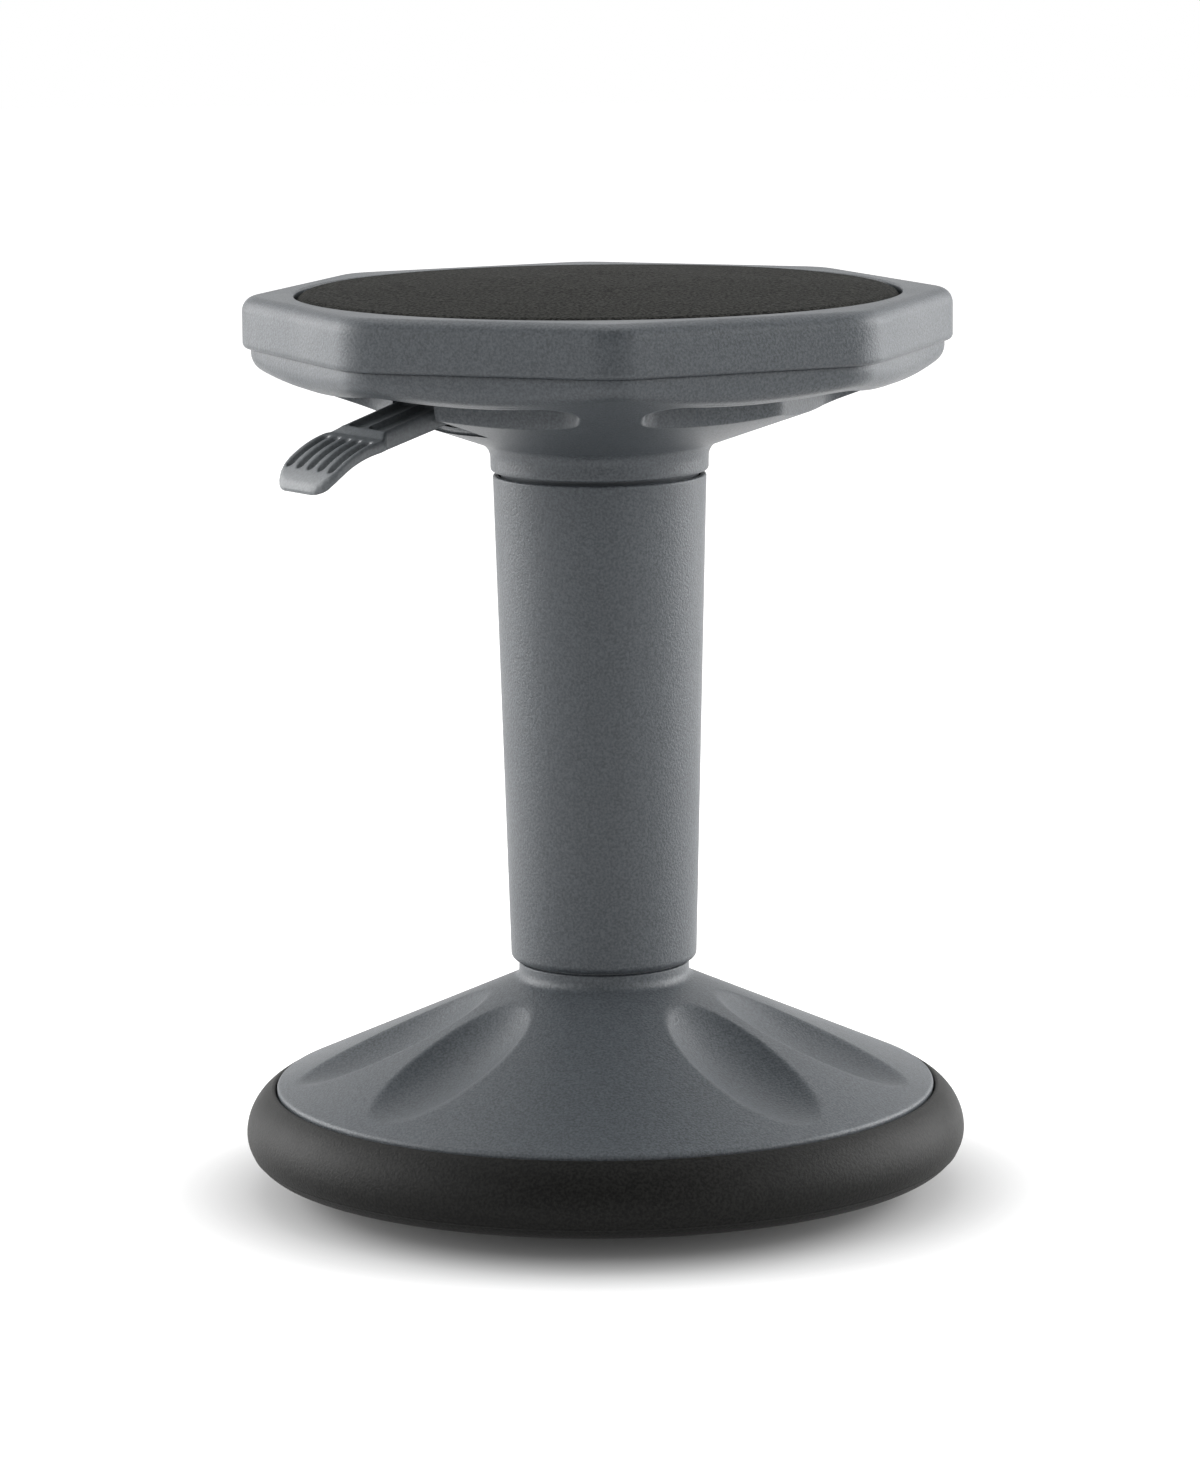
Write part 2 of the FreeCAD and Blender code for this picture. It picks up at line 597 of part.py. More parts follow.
def shell_screws():
    one = screw(SHANK, 3.8, 2.4, POCKET_ROOF, POCKET_ROOF + 19)
    return Part.makeCompound(spaced(one, SHELL_SCREW_CIRCLE, SHELL_SCREW_AZIMUTHS))


# Inner sleeve of the neck
# It hides the gas lift as the seat rises, and runs inside the column with a millimetre to spare.

SLEEVE_SCREW_CIRCLE = 53.0
SLEEVE_SCREW_AZIMUTHS = (45, 135, 225, 315)


def sleeve_outer(z):
    """Outer radius of the sleeve, set in from the column's bore."""
    return min(column_outer(z) - COLUMN_WALL - 1.0, 48.3)


def neck_sleeve():
    wall = 2.2
    foot = COLUMN_TOP - LIFT - 21
    flange = 57.0
    return spun(chain_face(
        (sleeve_outer(foot) - wall, foot), (sleeve_outer(foot) - 0.8, foot), (sleeve_outer(foot), foot + 0.8),
        (sleeve_outer(COLUMN_TOP), COLUMN_TOP), (48.9, COLUMN_TOP + 3), (48.9, 376), (flange, 376),
        (flange, 378.4), (48.9 - wall, 378.4), (48.9 - wall, COLUMN_TOP + 3),
        (sleeve_outer(COLUMN_TOP) - wall, COLUMN_TOP)))\
        .cut(spaced(tube(0, SHANK, 374, 380), SLEEVE_SCREW_CIRCLE, SLEEVE_SCREW_AZIMUTHS))


def sleeve_screws():
    one = screw(SHANK - 0.05, 3.4, 2.2, 378.4, 369)
    return Part.makeCompound(spaced(one, SLEEVE_SCREW_CIRCLE, SLEEVE_SCREW_AZIMUTHS))


# Column
# Drafted tube that stands on the base's collar, open at the top for the sleeve.

def column_tube():
    inner_foot = column_outer(118.3) - COLUMN_WALL
    solid = spun(rounded_face([
        (30, COLLAR_TOP, 0), (41, COLLAR_TOP, 0), (41, COLUMN_FOOT, 0), (COLUMN_FOOT_RADIUS, COLUMN_FOOT, 3.5),
        (COLUMN_TOP_RADIUS, COLUMN_TOP - 0.7, 0), (COLUMN_TOP_RADIUS - 0.7, COLUMN_TOP, 0),
        (COLUMN_TOP_RADIUS - COLUMN_WALL, COLUMN_TOP, 0), (inner_foot, 118.3, 0), (30, 118.3, 0)]))
    return solid.cut(spaced(tube(0, 2.1, 112, 120), COLUMN_SCREW_CIRCLE, COLUMN_SCREW_AZIMUTHS))


def column_screws():
    one = screw(SHANK, 3.8, 2.6, 118.3, 105)
    return Part.makeCompound(spaced(one, COLUMN_SCREW_CIRCLE, COLUMN_SCREW_AZIMUTHS))


# Release lever
# A bent steel arm turns on a pin in the channel and presses the gas lift's pin when its grip is lifted.

def lever_pin():
    pin = Part.makeCylinder(2.5, 61, Vector(PIVOT_REACH, -30.5, PIVOT_Z), ALONG_Y)
    head = Part.makeCylinder(4.5, 2, Vector(PIVOT_REACH, -CHANNEL_HALF - 2, PIVOT_Z), ALONG_Y)
    groove = Part.makeCylinder(4, 1.2, Vector(PIVOT_REACH, CHANNEL_HALF + 0.6, PIVOT_Z), ALONG_Y)
    core = Part.makeCylinder(1.8, 1.2, Vector(PIVOT_REACH, CHANNEL_HALF + 0.6, PIVOT_Z), ALONG_Y)
    return turned(fused(pin, [head]).cut(groove.cut(core)), LEVER_AZIMUTH)


def pin_clip():
    place = Vector(PIVOT_REACH, CHANNEL_HALF + 0.7, PIVOT_Z)
    ring = Part.makeCylinder(4.6, 1.0, place, ALONG_Y).cut(Part.makeCylinder(1.85, 1.0, place, ALONG_Y))
    mouth = block(PIVOT_REACH - 1.3, PIVOT_REACH + 1.3, CHANNEL_HALF, CHANNEL_HALF + 3, PIVOT_Z - 6, PIVOT_Z)
    return turned(ring.cut(mouth), LEVER_AZIMUTH)


ARM_END = 131.0


def arm_section(thick):
    """Section of the bent arm: level over the valve, then falling outwards."""
    top = PIVOT_Z + 4.5 + thick / 2
    return rounded_face([
        (-11, top - thick, 0), (40, top - thick, 6), (ARM_END, arm_centre(ARM_END) - thick / 2, 0),
        (ARM_END, arm_centre(ARM_END) + thick / 2, 0), (40, top, 9), (-11, top, 0)],
        lambda x, z: Vector(x, 0, z))


def lever_arm():
    half = 9.0
    section = arm_section(3.0)
    section.translate(Vector(0, -half, 0))
    strap = section.extrude(Vector(0, 2 * half, 0))
    ear_outline = rounded_face([(23, PIVOT_Z - 5, 4.5), (37, PIVOT_Z - 5, 4.5), (37, PIVOT_Z + 6, 1),
                                (23, PIVOT_Z + 6, 1)], lambda x, z: Vector(x, half, z))
    ear = ear_outline.extrude(Vector(0, 3, 0))
    other = ear.translated(Vector(0, -2 * half - 3, 0))
    pin_hole = Part.makeCylinder(2.55, 40, Vector(PIVOT_REACH, -20, PIVOT_Z), ALONG_Y)
    return turned(fused(strap, [ear, other]).cut(pin_hole), LEVER_AZIMUTH)


def lever_grip():
    bar_start = 97.0
    section = chain_face(
        (bar_start, arm_centre(bar_start) - 5.2), (139.4, 379.0), (142.0, 379.7),
        (159.6, 373.9, 172.9, 363.0), (176.1, 362.6, 175.7, 366.0), (160.8, 378.5, 142.6, 385.3),
        (139.6, 388.1), (bar_start, arm_centre(bar_start) + 4.8))
    section.translate(Vector(0, -30, 0))
    side_view = section.extrude(Vector(0, 60, 0))
    plan = rounded_face([
        (bar_start, -BAR_HALF, 0), (138.5, -BAR_HALF, 3), (143.5, -PADDLE_HALF, 4),
        (PADDLE_TIP + 1, -PADDLE_HALF + 2, 9), (PADDLE_TIP + 1, PADDLE_HALF - 2, 9), (143.5, PADDLE_HALF, 4),
        (138.5, BAR_HALF, 3), (bar_start, BAR_HALF, 0)], level(350))
    grip = side_view.common(plan.extrude(Vector(0, 0, 60)))
    cuts = []
    for k in range(-2, 3):
        y = 8.8 * k
        slot = rounded_face([(147, y - 1.9, 1.85), (169.5, y - 1.9, 1.85), (169.5, y + 1.9, 1.85),
                             (147, y + 1.9, 1.85)], level(350))
        cuts.append(slot.extrude(Vector(0, 0, 60)))
    for side in (-1, 1):
        y = side * 8.2
        groove = rounded_face([(103, y - 6.6, 3), (137, y - 6.6, 3), (137, y + 6.6, 3), (103, y + 6.6, 3)],
                              level(0)).extrude(Vector(0, 0, 10))
        groove.translate(Vector(-120, 0, 1.9))
        groove.rotate(ORIGIN, ALONG_Y, math.degrees(math.atan(ARM_FALL)))
        groove.translate(Vector(120, 0, arm_centre(120)))
        cuts.append(groove)
    strap_room = arm_section(3.1)
    strap_room.translate(Vector(0, -9.05, 0))
    cuts.append(strap_room.extrude(Vector(0, 18.1, 0)))
    return turned(grip.cut(cuts), LEVER_AZIMUTH)


MAKERS = (
    sole_plate, sole_screws, base_shell, rubber_ring, cone_socket, column_tube, column_screws,
    stand_tube, guide_bush, bearing_lower_race, bearing_balls,
    bearing_upper_race, piston_rod, rod_clip, piston, piston_seal, rubber_bumper,
    pressure_tube, rod_guide, rod_seal, valve_body, release_pin,
    cone_hub, lift_housing, seat_plate, plate_screws, threaded_inserts,
    seat_lower_shell, neck_sleeve, sleeve_screws, shell_screws, seat_top_shell, seat_pad,
    lever_pin, pin_clip, lever_arm, lever_grip)

os.makedirs("parts", exist_ok=True)
for maker in MAKERS:
    shape = maker()
    shape.exportStep("parts/" + maker.__name__ + ".step")
    print(maker.__name__, "solids", len(shape.Solids), "valid", shape.isValid(),
          "volume", round(shape.Volume / 1000, 2), "cm3")
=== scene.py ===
import math
import bmesh
import bpy
import numpy as np
from mathutils import Matrix


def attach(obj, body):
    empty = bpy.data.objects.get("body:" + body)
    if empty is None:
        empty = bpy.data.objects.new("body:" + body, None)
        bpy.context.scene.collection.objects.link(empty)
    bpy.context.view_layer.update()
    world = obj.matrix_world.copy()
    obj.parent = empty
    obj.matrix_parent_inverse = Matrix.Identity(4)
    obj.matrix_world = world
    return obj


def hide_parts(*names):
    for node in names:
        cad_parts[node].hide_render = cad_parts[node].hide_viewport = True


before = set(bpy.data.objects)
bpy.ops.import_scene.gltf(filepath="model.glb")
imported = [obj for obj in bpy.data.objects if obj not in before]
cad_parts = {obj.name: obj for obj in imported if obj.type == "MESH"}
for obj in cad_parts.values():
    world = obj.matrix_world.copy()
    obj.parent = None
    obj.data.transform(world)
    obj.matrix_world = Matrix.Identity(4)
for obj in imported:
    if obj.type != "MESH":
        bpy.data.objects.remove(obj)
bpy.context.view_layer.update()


# Camera
# A long lens in front of the stool, a little above its seat, tipped a hair to one side.
CAMERA_PLACE = (-0.001, -2.819, 0.7029)
CAMERA_PITCH = 9.57
CAMERA_ROLL = -0.53
FOCAL_PIXELS = 5822
FRAME_HEIGHT_PIXELS = 1466
SENSOR_SIZE = 36
camera_data = bpy.data.cameras.new("camera")
camera_data.sensor_width = SENSOR_SIZE
camera_data.lens = FOCAL_PIXELS / FRAME_HEIGHT_PIXELS * SENSOR_SIZE
camera_data.clip_end = 50
camera = bpy.data.objects.new("camera", camera_data)
bpy.context.collection.objects.link(camera)
camera.matrix_world = (
    Matrix.Translation(CAMERA_PLACE)
    @ Matrix.Rotation(math.radians(90 - CAMERA_PITCH), 4, "X")
    @ Matrix.Rotation(math.radians(CAMERA_ROLL), 4, "Z"))
bpy.context.scene.camera = camera


# Sole
# Domed plate of tough black plastic, moulded in one and screwed up under the base.
# The stool stands on its flat middle and rocks on the rest.
CLOUD_SCALE = 14
ROUGHNESS_SWING = 0.05
COAT_ROUGHNESS = 0.2


def noise(tree, scale, detail, roughness):
    """Cloudy value about 0.5, read in the piece's own coordinates."""
    place = tree.nodes.new("ShaderNodeTexCoord")
    node = tree.nodes.new("ShaderNodeTexNoise")
    for socket, value in (("Scale", scale), ("Detail", detail), ("Roughness", roughness)):
        node.inputs[socket].default_value = value
    tree.links.new(place.outputs["Object"], node.inputs["Vector"])
    return node.outputs["Fac"]


def remap(tree, source, low, high, to_low, to_high):
    """Value carried in a straight line from the range low, high onto the range to_low, to_high."""
    node = tree.nodes.new("ShaderNodeMapRange")
    for socket, value in (("From Min", low), ("From Max", high),
                          ("To Min", to_low), ("To Max", to_high)):
        node.inputs[socket].default_value = value
    tree.links.new(source, node.inputs["Value"])
    return node.outputs["Result"]


def combine(tree, operation, first, second):
    """Value worked out from two others, such as their product or the greater of them."""
    node = tree.nodes.new("ShaderNodeMath")
    node.operation = operation
    tree.links.new(first, node.inputs[0])
    tree.links.new(second, node.inputs[1])
    return node.outputs["Value"]


def finish(name, colour, roughness, grain=0.0004, relief=0.0, speckle=0.0, cloud=0.0,
           metallic=0.0, coat=0.0, specular=0.5, contrast=1.0):
    """Material whose colour, roughness and relief vary with noise.

    Fine noise of the grain's size gives the specks and the relief, and broad noise the clouds.
    The specks span 0.5 - 0.2 / contrast to 0.5 + 0.2 / contrast, so more contrast hardens them."""
    material = bpy.data.materials.new(name)
    material.use_nodes = True
    tree = material.node_tree
    link = tree.links.new
    shader = tree.nodes["Principled BSDF"]
    for socket, value in (("Metallic", metallic), ("Coat Weight", coat),
                          ("Coat Roughness", COAT_ROUGHNESS), ("Specular IOR Level", specular)):
        shader.inputs[socket].default_value = value
    fine = noise(tree, 1 / grain, 3, 0.6)
    broad = noise(tree, CLOUD_SCALE, 4, 0.5)
    span = 0.2 / contrast
    specks = remap(tree, fine, 0.5 - span, 0.5 + span, 1 - speckle, 1 + speckle)
    clouds = remap(tree, broad, 0.3, 0.7, 1 - cloud, 1 + cloud)
    tint = tree.nodes.new("ShaderNodeVectorMath")
    tint.operation = "SCALE"
    tint.inputs[0].default_value = colour
    link(combine(tree, "MULTIPLY", specks, clouds), tint.inputs["Scale"])
    link(tint.outputs["Vector"], shader.inputs["Base Color"])
    link(remap(tree, broad, 0.3, 0.7, roughness - ROUGHNESS_SWING, roughness + ROUGHNESS_SWING),
         shader.inputs["Roughness"])
    if relief > 0:
        bump = tree.nodes.new("ShaderNodeBump")
        bump.inputs["Strength"].default_value = 1
        bump.inputs["Distance"].default_value = relief
        link(fine, bump.inputs["Height"])
        link(bump.outputs["Normal"], shader.inputs["Normal"])
    return material


def dress(material, *names):
    """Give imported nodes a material, in every slot they have."""
    for name in names:
        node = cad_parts[name]
        node.data.materials.clear()
        node.data.materials.append(material)


sole_finish = finish("sole_plastic", (0.022, 0.022, 0.023), 0.55, grain=0.0006, relief=0.00004,
                     speckle=0.15)
dress(sole_finish, "sole_plate")


# Gas lift and its taper socket
# Enamelled tubes, ground rod, race and balls, all steel, with plastic and rubber pieces between.
# The stand tube is held in the socket by its taper, and the rod is clipped under the tube's floor.
enamel = finish("enamelled_steel", (0.016, 0.016, 0.017), 0.3, grain=0.0008, relief=0.00001,
                cloud=0.1, coat=0.3)
ground_steel = finish("ground_steel", (0.62, 0.62, 0.61), 0.22, grain=0.0003, relief=0.000004,
                      cloud=0.05, metallic=1)
soft_rubber = finish("seal_rubber", (0.016, 0.016, 0.016), 0.6, grain=0.0005, relief=0.00002,
                     speckle=0.1)
bush_finish = finish("bush_plastic", (0.72, 0.71, 0.67), 0.4, grain=0.0008, relief=0.00001,
                     cloud=0.03)
dress(enamel, "stand_tube", "pressure_tube", "cone_socket")
dress(ground_steel, "piston_rod", "piston", "bearing_balls", "bearing_lower_race",
      "bearing_upper_race", "valve_body", "release_pin")
dress(soft_rubber, "piston_seal", "rod_seal", "rubber_bumper")
dress(bush_finish, "guide_bush", "rod_guide")
zinc = finish("zinc_steel", (0.5, 0.5, 0.49), 0.32, grain=0.0006, relief=0.00001, cloud=0.08,
              metallic=1)
dress(zinc, "sole_screws", "column_screws", "rod_clip")


# Base moulding
# One shell of grained grey plastic: collar, cone, six scooped flutes in three pairs and an edge.
# It drops over the taper socket, and the rubber ring hooks on a tongue round its edge.
MM = 0.001
COLLAR_RADIUS = 42.0
COLLAR_TOP = 114.5
CONE_START = 107.5
CONE_FALL = 0.446
BASE_RADIUS = 162.5
BASE_BORE = 159.6
BASE_WALL = 3.0
BASE_STEPS = 520
FLUTES = np.radians([39, 75, 159, 195, 279, 315])
FLUTE_CENTRE = 105.0
FLUTE_HALF_LENGTH = 52.0
FLUTE_HALF_WIDTH = 25.0
FLUTE_DEPTH = 9.0
FLUTE_LIP = 0.18
FLUTED_FROM = 48.0
FLUTED_TO = 161.0
FLUTED_ABOVE = 50.0
SHORT_STEP = 0.5
MERGE_WITHIN = 2e-7
FAR = 999.0


def rounded_outline(corners, closed=True, arc_steps=6, run=6.0):
    """Points along an outline of corners (a, b, radius).

    Each corner is a tangent arc about a centre on its bisector, at radius / sin(half the corner's
    angle). Each straight run is cut into even steps, with a short one beside every arc so that it
    shades flat."""
    corners = np.array(corners, float)
    here = corners[:, :2]
    radius = corners[:, 2]
    back = np.roll(here, 1, 0) - here
    ahead = np.roll(here, -1, 0) - here
    back /= np.linalg.norm(back, axis=1)[:, None]
    ahead /= np.linalg.norm(ahead, axis=1)[:, None]
    half = np.arccos(np.clip((back * ahead).sum(1), -0.999999, 0.999999)) / 2
    cut = radius / np.tan(half)
    if not closed:
        cut[[0, -1]] = 0
    start = here + back * cut[:, None]
    end = here + ahead * cut[:, None]
    bisector = back + ahead
    bisector /= np.linalg.norm(bisector, axis=1)[:, None] + 1e-12
    centre = here + bisector * (radius / np.sin(half))[:, None]
    points = []
    t = np.linspace(0, 1, arc_steps)[:, None]
    for k in range(len(here)):
        if cut[k] > 0:
            span = math.pi - 2 * half[k]
            arc = (np.sin((1 - t) * span) * (start[k] - centre[k])
                   + np.sin(t * span) * (end[k] - centre[k])) / math.sin(span)
            points.append(centre[k] + arc)
        else:
            points.append(here[k:k + 1])
        if not closed and k == len(here) - 1:
            break
        after = start[(k + 1) % len(here)]
        length = np.linalg.norm(after - end[k])
        beside = min(SHORT_STEP / max(length, 1e-9), 0.3)
        cuts = np.linspace(0, 1, max(2, int(length / run) + 2))[1:-1]
        cuts = cuts[(cuts > 1.5 * beside) & (cuts < 1 - 1.5 * beside)]
        cuts = np.concatenate([[beside], cuts, [1 - beside]])
        points.append(end[k] + cuts[:, None] * (after - end[k]))
    return np.concatenate(points)


def mesh_piece(name, vertices, faces, body, material, slot, *nodes):
    """Object in metres from vertices in millimetres and faces of four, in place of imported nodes.

    Points that coincide at a pole are merged, and the faces are turned so that the enclosed
    volume, the sum of the signed cones from the origin to every face, is positive."""
    vertices = np.asarray(vertices, float) * MM
    faces = np.asarray(faces)
    a, b, c, d = (vertices[faces[:, k]] for k in range(4))
    if (a * np.cross(b, c)).sum() + (a * np.cross(c, d)).sum() < 0:
        faces = faces[:, ::-1]
    mesh = bpy.data.meshes.new(name)
    mesh.vertices.add(len(vertices))
    mesh.vertices.foreach_set("co", vertices.astype(np.float32).ravel())
    mesh.loops.add(faces.size)
    mesh.loops.foreach_set("vertex_index", faces.astype(np.int32).ravel())
    mesh.polygons.add(len(faces))
    mesh.polygons.foreach_set("loop_start", np.arange(0, faces.size, 4, dtype=np.int32))
    mesh.update(calc_edges=True)
    merged = bmesh.new()
    merged.from_mesh(mesh)
    bmesh.ops.remove_doubles(merged, verts=merged.verts, dist=MERGE_WITHIN)
    merged.to_mesh(mesh)
    merged.free()
    mesh.polygons.foreach_set("use_smooth", np.ones(len(mesh.polygons), bool))
    mesh.materials.append(material)
    piece = bpy.data.objects.new(name, mesh)
    bpy.context.collection.objects.link(piece)
    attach(piece, body)
    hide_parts(*nodes)
    return piece


def ring_faces(rows, columns, closed):
    """Faces of a grid whose columns run all the way round; its rows close up too where asked."""
    index = np.arange(rows * columns).reshape(rows, columns)
    below = np.roll(index, -1, 0)
    faces = np.stack([index, below, np.roll(below, -1, 1), np.roll(index, -1, 1)], -1)
    return (faces if closed else faces[:-1]).reshape(-1, 4)


def about(radius, height, azimuth):
    """Points at a radius and height for each azimuth from the front: x = r sin, y = -r cos."""
    radius, height, azimuth = np.broadcast_arrays(radius, height, azimuth)
    return np.stack([radius * np.sin(azimuth), -radius * np.cos(azimuth), height], -1)


def all_round(steps):
    """Even azimuths as one row."""
    return np.linspace(0, 2 * math.pi, steps, endpoint=False)[None, :]


def spun_piece(name, section, steps, *rest):
    """A closed section (r, z) carried round the centre line."""
    points = about(section[:, :1], section[:, 1:], all_round(steps))
    return mesh_piece(name, points.reshape(-1, 3), ring_faces(len(section), steps, True), *rest)


def cone_height(r):
    """Height of the base's outer cone at radius r."""
    return CONE_START - CONE_FALL * (r - COLLAR_RADIUS)


def flute_depth(radius, azimuth):
    """Depth of the scoops below the cone.

    A round belly is swept along an arc over the cone: at y across it the arc's radius is
    sweep - belly + sqrt(belly^2 - y^2), and the depth at s along it is sqrt(that radius^2 - s^2)
    less the height of the arc's centre. A soft maximum with the cone rolls the lip slightly."""
    belly = (FLUTE_HALF_WIDTH ** 2 + FLUTE_DEPTH ** 2) / (2 * FLUTE_DEPTH)
    sweep = (FLUTE_HALF_LENGTH ** 2 + FLUTE_DEPTH ** 2) / (2 * FLUTE_DEPTH)
    deepest = np.full(np.broadcast(radius, azimuth).shape, -FAR)
    for middle in FLUTES:
        away = np.angle(np.exp(1j * (azimuth - middle)))
        across = np.where(np.cos(away) > 0.3, radius * np.sin(away), FAR)
        along = (radius * np.cos(away) - FLUTE_CENTRE) * math.sqrt(1 + CONE_FALL ** 2)
        arc = sweep - belly + np.sqrt(np.maximum(belly ** 2 - across ** 2, 0))
        bowl = np.sqrt(np.maximum(arc ** 2 - along ** 2, 0)) - (sweep - FLUTE_DEPTH)
        deepest = np.maximum(deepest, np.where(np.abs(across) < belly, bowl, -FAR))
    depth = FLUTE_LIP * np.logaddexp(0, deepest / FLUTE_LIP)
    return np.where(depth > 0.01, depth, 0)


shell_grey = finish("shell_plastic", (0.073, 0.082, 0.091), 0.42, grain=0.0012, relief=0.00026,
                    speckle=0.3, cloud=0.03, specular=0.42, contrast=1.5)
drop = BASE_WALL * math.sqrt(1 + CONE_FALL ** 2)
outer_run = rounded_outline([
    (28.5, COLLAR_TOP, 0), (COLLAR_RADIUS, COLLAR_TOP, 0.8), (COLLAR_RADIUS, CONE_START, 5),
    (BASE_RADIUS, cone_height(BASE_RADIUS), 2.2), (BASE_RADIUS, 34.3, 0)],
    closed=False, arc_steps=6, run=2.2)
inner_run = rounded_outline([
    (BASE_RADIUS, 34, 0), (166.8, 34, 0.3), (166.8, 30, 0.3), (BASE_RADIUS, 30, 0.3),
    (BASE_RADIUS, 20.2, 0.3), (BASE_BORE, 20.2, 0.3), (BASE_BORE, cone_height(BASE_BORE) - drop, 2),
    (46.5, 102, 1), (32, 102, 1), (32, 40.2, 0.3), (28.2, 40.2, 0.3), (28.2, COLLAR_TOP - 0.3, 0)],
    closed=False, arc_steps=3, run=8)
base_section = np.concatenate([outer_run, inner_run])
base_r = base_section[:, :1]
base_z = base_section[:, 1:]
fluted = (base_r > FLUTED_FROM) & (base_r < FLUTED_TO) & (base_z > FLUTED_ABOVE)
scoop = flute_depth(base_r, all_round(BASE_STEPS)) * fluted
tilt = math.atan(CONE_FALL)
base_points = about(base_r - scoop * math.sin(tilt), base_z - scoop * math.cos(tilt),
                    all_round(BASE_STEPS))
mesh_piece("base_moulding", base_points.reshape(-1, 3),
           ring_faces(len(base_section), BASE_STEPS, True),
           "base", shell_grey, "shell_plastic", "base_shell")


# Rubber ring
# Soft black tyre, moulded in one and stretched over the base's edge, with a bead at the plastic.
# A fine mould line runs round it low on the outside.
MOULD_LINE_HEIGHT = 21.2
MOULD_LINE_WIDTH = 0.35
MOULD_LINE_RISE = 0.28
MOULD_LINE_OUTSIDE = 172.0
TYRE_STEPS = 360


def through(a, b, c, steps):
    """Points on the circle through three points, from a to c by way of b.

    Its centre solves the bisectors of the two chords."""
    a, b, c = (np.array(p, float) for p in (a, b, c))
    sides = np.array([b - a, c - b])
    centre = np.linalg.solve(sides, 0.5 * np.array([b @ b - a @ a, c @ c - b @ b]))
    first, mid, last = (math.atan2(*(p - centre)[::-1]) for p in (a, b, c))
    turn = (last - first) % (2 * math.pi)
    if (mid - first) % (2 * math.pi) > turn:
        turn -= 2 * math.pi
    angle = first + np.linspace(0, 1, steps) * turn
    return centre + np.hypot(*(a - centre)) * np.stack([np.cos(angle), np.sin(angle)], -1)


rubber = finish("ring_rubber", (0.0072, 0.0072, 0.0066), 0.5, grain=0.0014, relief=0.00024,
                speckle=0.6, cloud=0.15, specular=0.15, contrast=2)
inside_run = rounded_outline([
    (165.0, 14.9, 0), (165.0, 20, 0.3), (162.6, 20, 0.3), (162.6, 29.8, 0.3), (167, 29.8, 0.3),
    (167, 34.2, 0.3), (162.6, 34.2, 0.3), (162.6, 46.5, 0.8), (163.1, 50.2, 0)],
    closed=False, arc_steps=4)
ring_section = np.concatenate([
    inside_run,
    through((163.1, 50.2), (163.9, 52.0), (165.6, 51.6), 7)[1:],
    through((165.6, 51.6), (173.4, 44.2), (177.6, 32.5), 22)[1:],
    through((177.6, 32.5), (176.0, 23.4), (170.6, 17.0), 44)[1:],
    through((170.6, 17.0), (168.2, 15.7), (165.0, 14.9), 6)[1:-1]])
ring_r, ring_z = ring_section.T
mould_line = np.exp(-((ring_z - MOULD_LINE_HEIGHT) / MOULD_LINE_WIDTH) ** 2)
ring_section[:, 0] += MOULD_LINE_RISE * mould_line * (ring_r > MOULD_LINE_OUTSIDE)
spun_piece("rubber_tyre", ring_section, TYRE_STEPS, "base", rubber, "ring_rubber", "rubber_ring")


# Column
# Drafted tube of the same grained plastic, moulded in one and screwed on the base's collar.
COLUMN_STEPS = 224
column_section = rounded_outline([
    (30, 114.6, 0.3), (41, 114.6, 0.3), (41, 115.6, 0.3), (45.7, 115.6, 3.4), (52.1, 356, 1.0),
    (49.3, 356, 0.6), (42.95, 118.3, 2), (30, 118.3, 0.3)], run=9)
spun_piece("column", column_section, COLUMN_STEPS, "base", shell_grey, "shell_plastic",
           "column_tube")


# Neck sleeve
# Smooth tube of plastic, a shade darker, screwed up inside the seat's neck.
# It shows as the seat rises out of the column.
SLEEVE_STEPS = 192
sleeve_grey = finish("sleeve_plastic", (0.070, 0.078, 0.086), 0.38, grain=0.0008, relief=0.00002,
                     speckle=0.05, cloud=0.02)
sleeve_section = rounded_outline([
    (41.25, 175, 0.3), (43.45, 175, 0.9), (48.25, 356, 2), (48.85, 359, 2), (48.85, 376.1, 0.3),
    (57, 376.1, 0.3), (57, 378.4, 0.3), (46.6, 378.4, 0.3), (46.6, 359, 1), (46.1, 356, 1)], run=9)
spun_piece("inner_sleeve", sleeve_section, SLEEVE_STEPS, "seat", sleeve_grey, "sleeve_plastic",
           "neck_sleeve")


# Steel mount under the seat
# Black powder coated hub, folded channel and plate, with zinc plated screws in brass inserts.
# The hub is welded through the channel, and the plate is screwed up into the top moulding.
powder_coat = finish("powder_coat", (0.018, 0.018, 0.019), 0.5, grain=0.0009, relief=0.00006,
                     speckle=0.1)
brass = finish("insert_brass", (0.68, 0.49, 0.22), 0.3, grain=0.0006, relief=0.00001, cloud=0.06,
               metallic=1)
dress(powder_coat, "cone_hub", "lift_housing", "seat_plate", "lever_arm")
dress(zinc, "plate_screws", "sleeve_screws", "shell_screws", "lever_pin", "pin_clip")
dress(brass, "threaded_inserts")


# Seat lower moulding
# Shallow octagonal funnel of grained plastic with a neck, screwed up under the top moulding.
# Four grip pockets wrap round its corners, and a window lets the lever through.
CORNER_AZIMUTH = math.radians(2.5)
LEVER_AZIMUTH = math.radians(-53.5)
BEND = math.radians(22.5)
LOWER_APOTHEM = 157.7
LOWER_CORNER = 26.0
SHELL_WALL = 3.0
SEAM = 419.5
FUNNEL_START = 61.0
FUNNEL_FOOT = 373.0
UNDER_SLOPE = 0.352
POCKET_OUTER = 145.0
POCKET_OUTER_ROUND = 24.0
POCKET_INNER = 108.0
POCKET_INNER_ROUND = 7.0
POCKET_TIP_ROUND = 15.0
POCKET_HEEL_ROUND = 13.0
POCKET_ROOF = 412.0
POCKET_STEEPNESS = 14.0
POCKET_LIP = 0.22
ROOF_ROUND = 3.0
SPOKE_HALF = 15.6
SPOKE_TO_MIDDLE = 83.4
WINDOW_HALF = 22.0
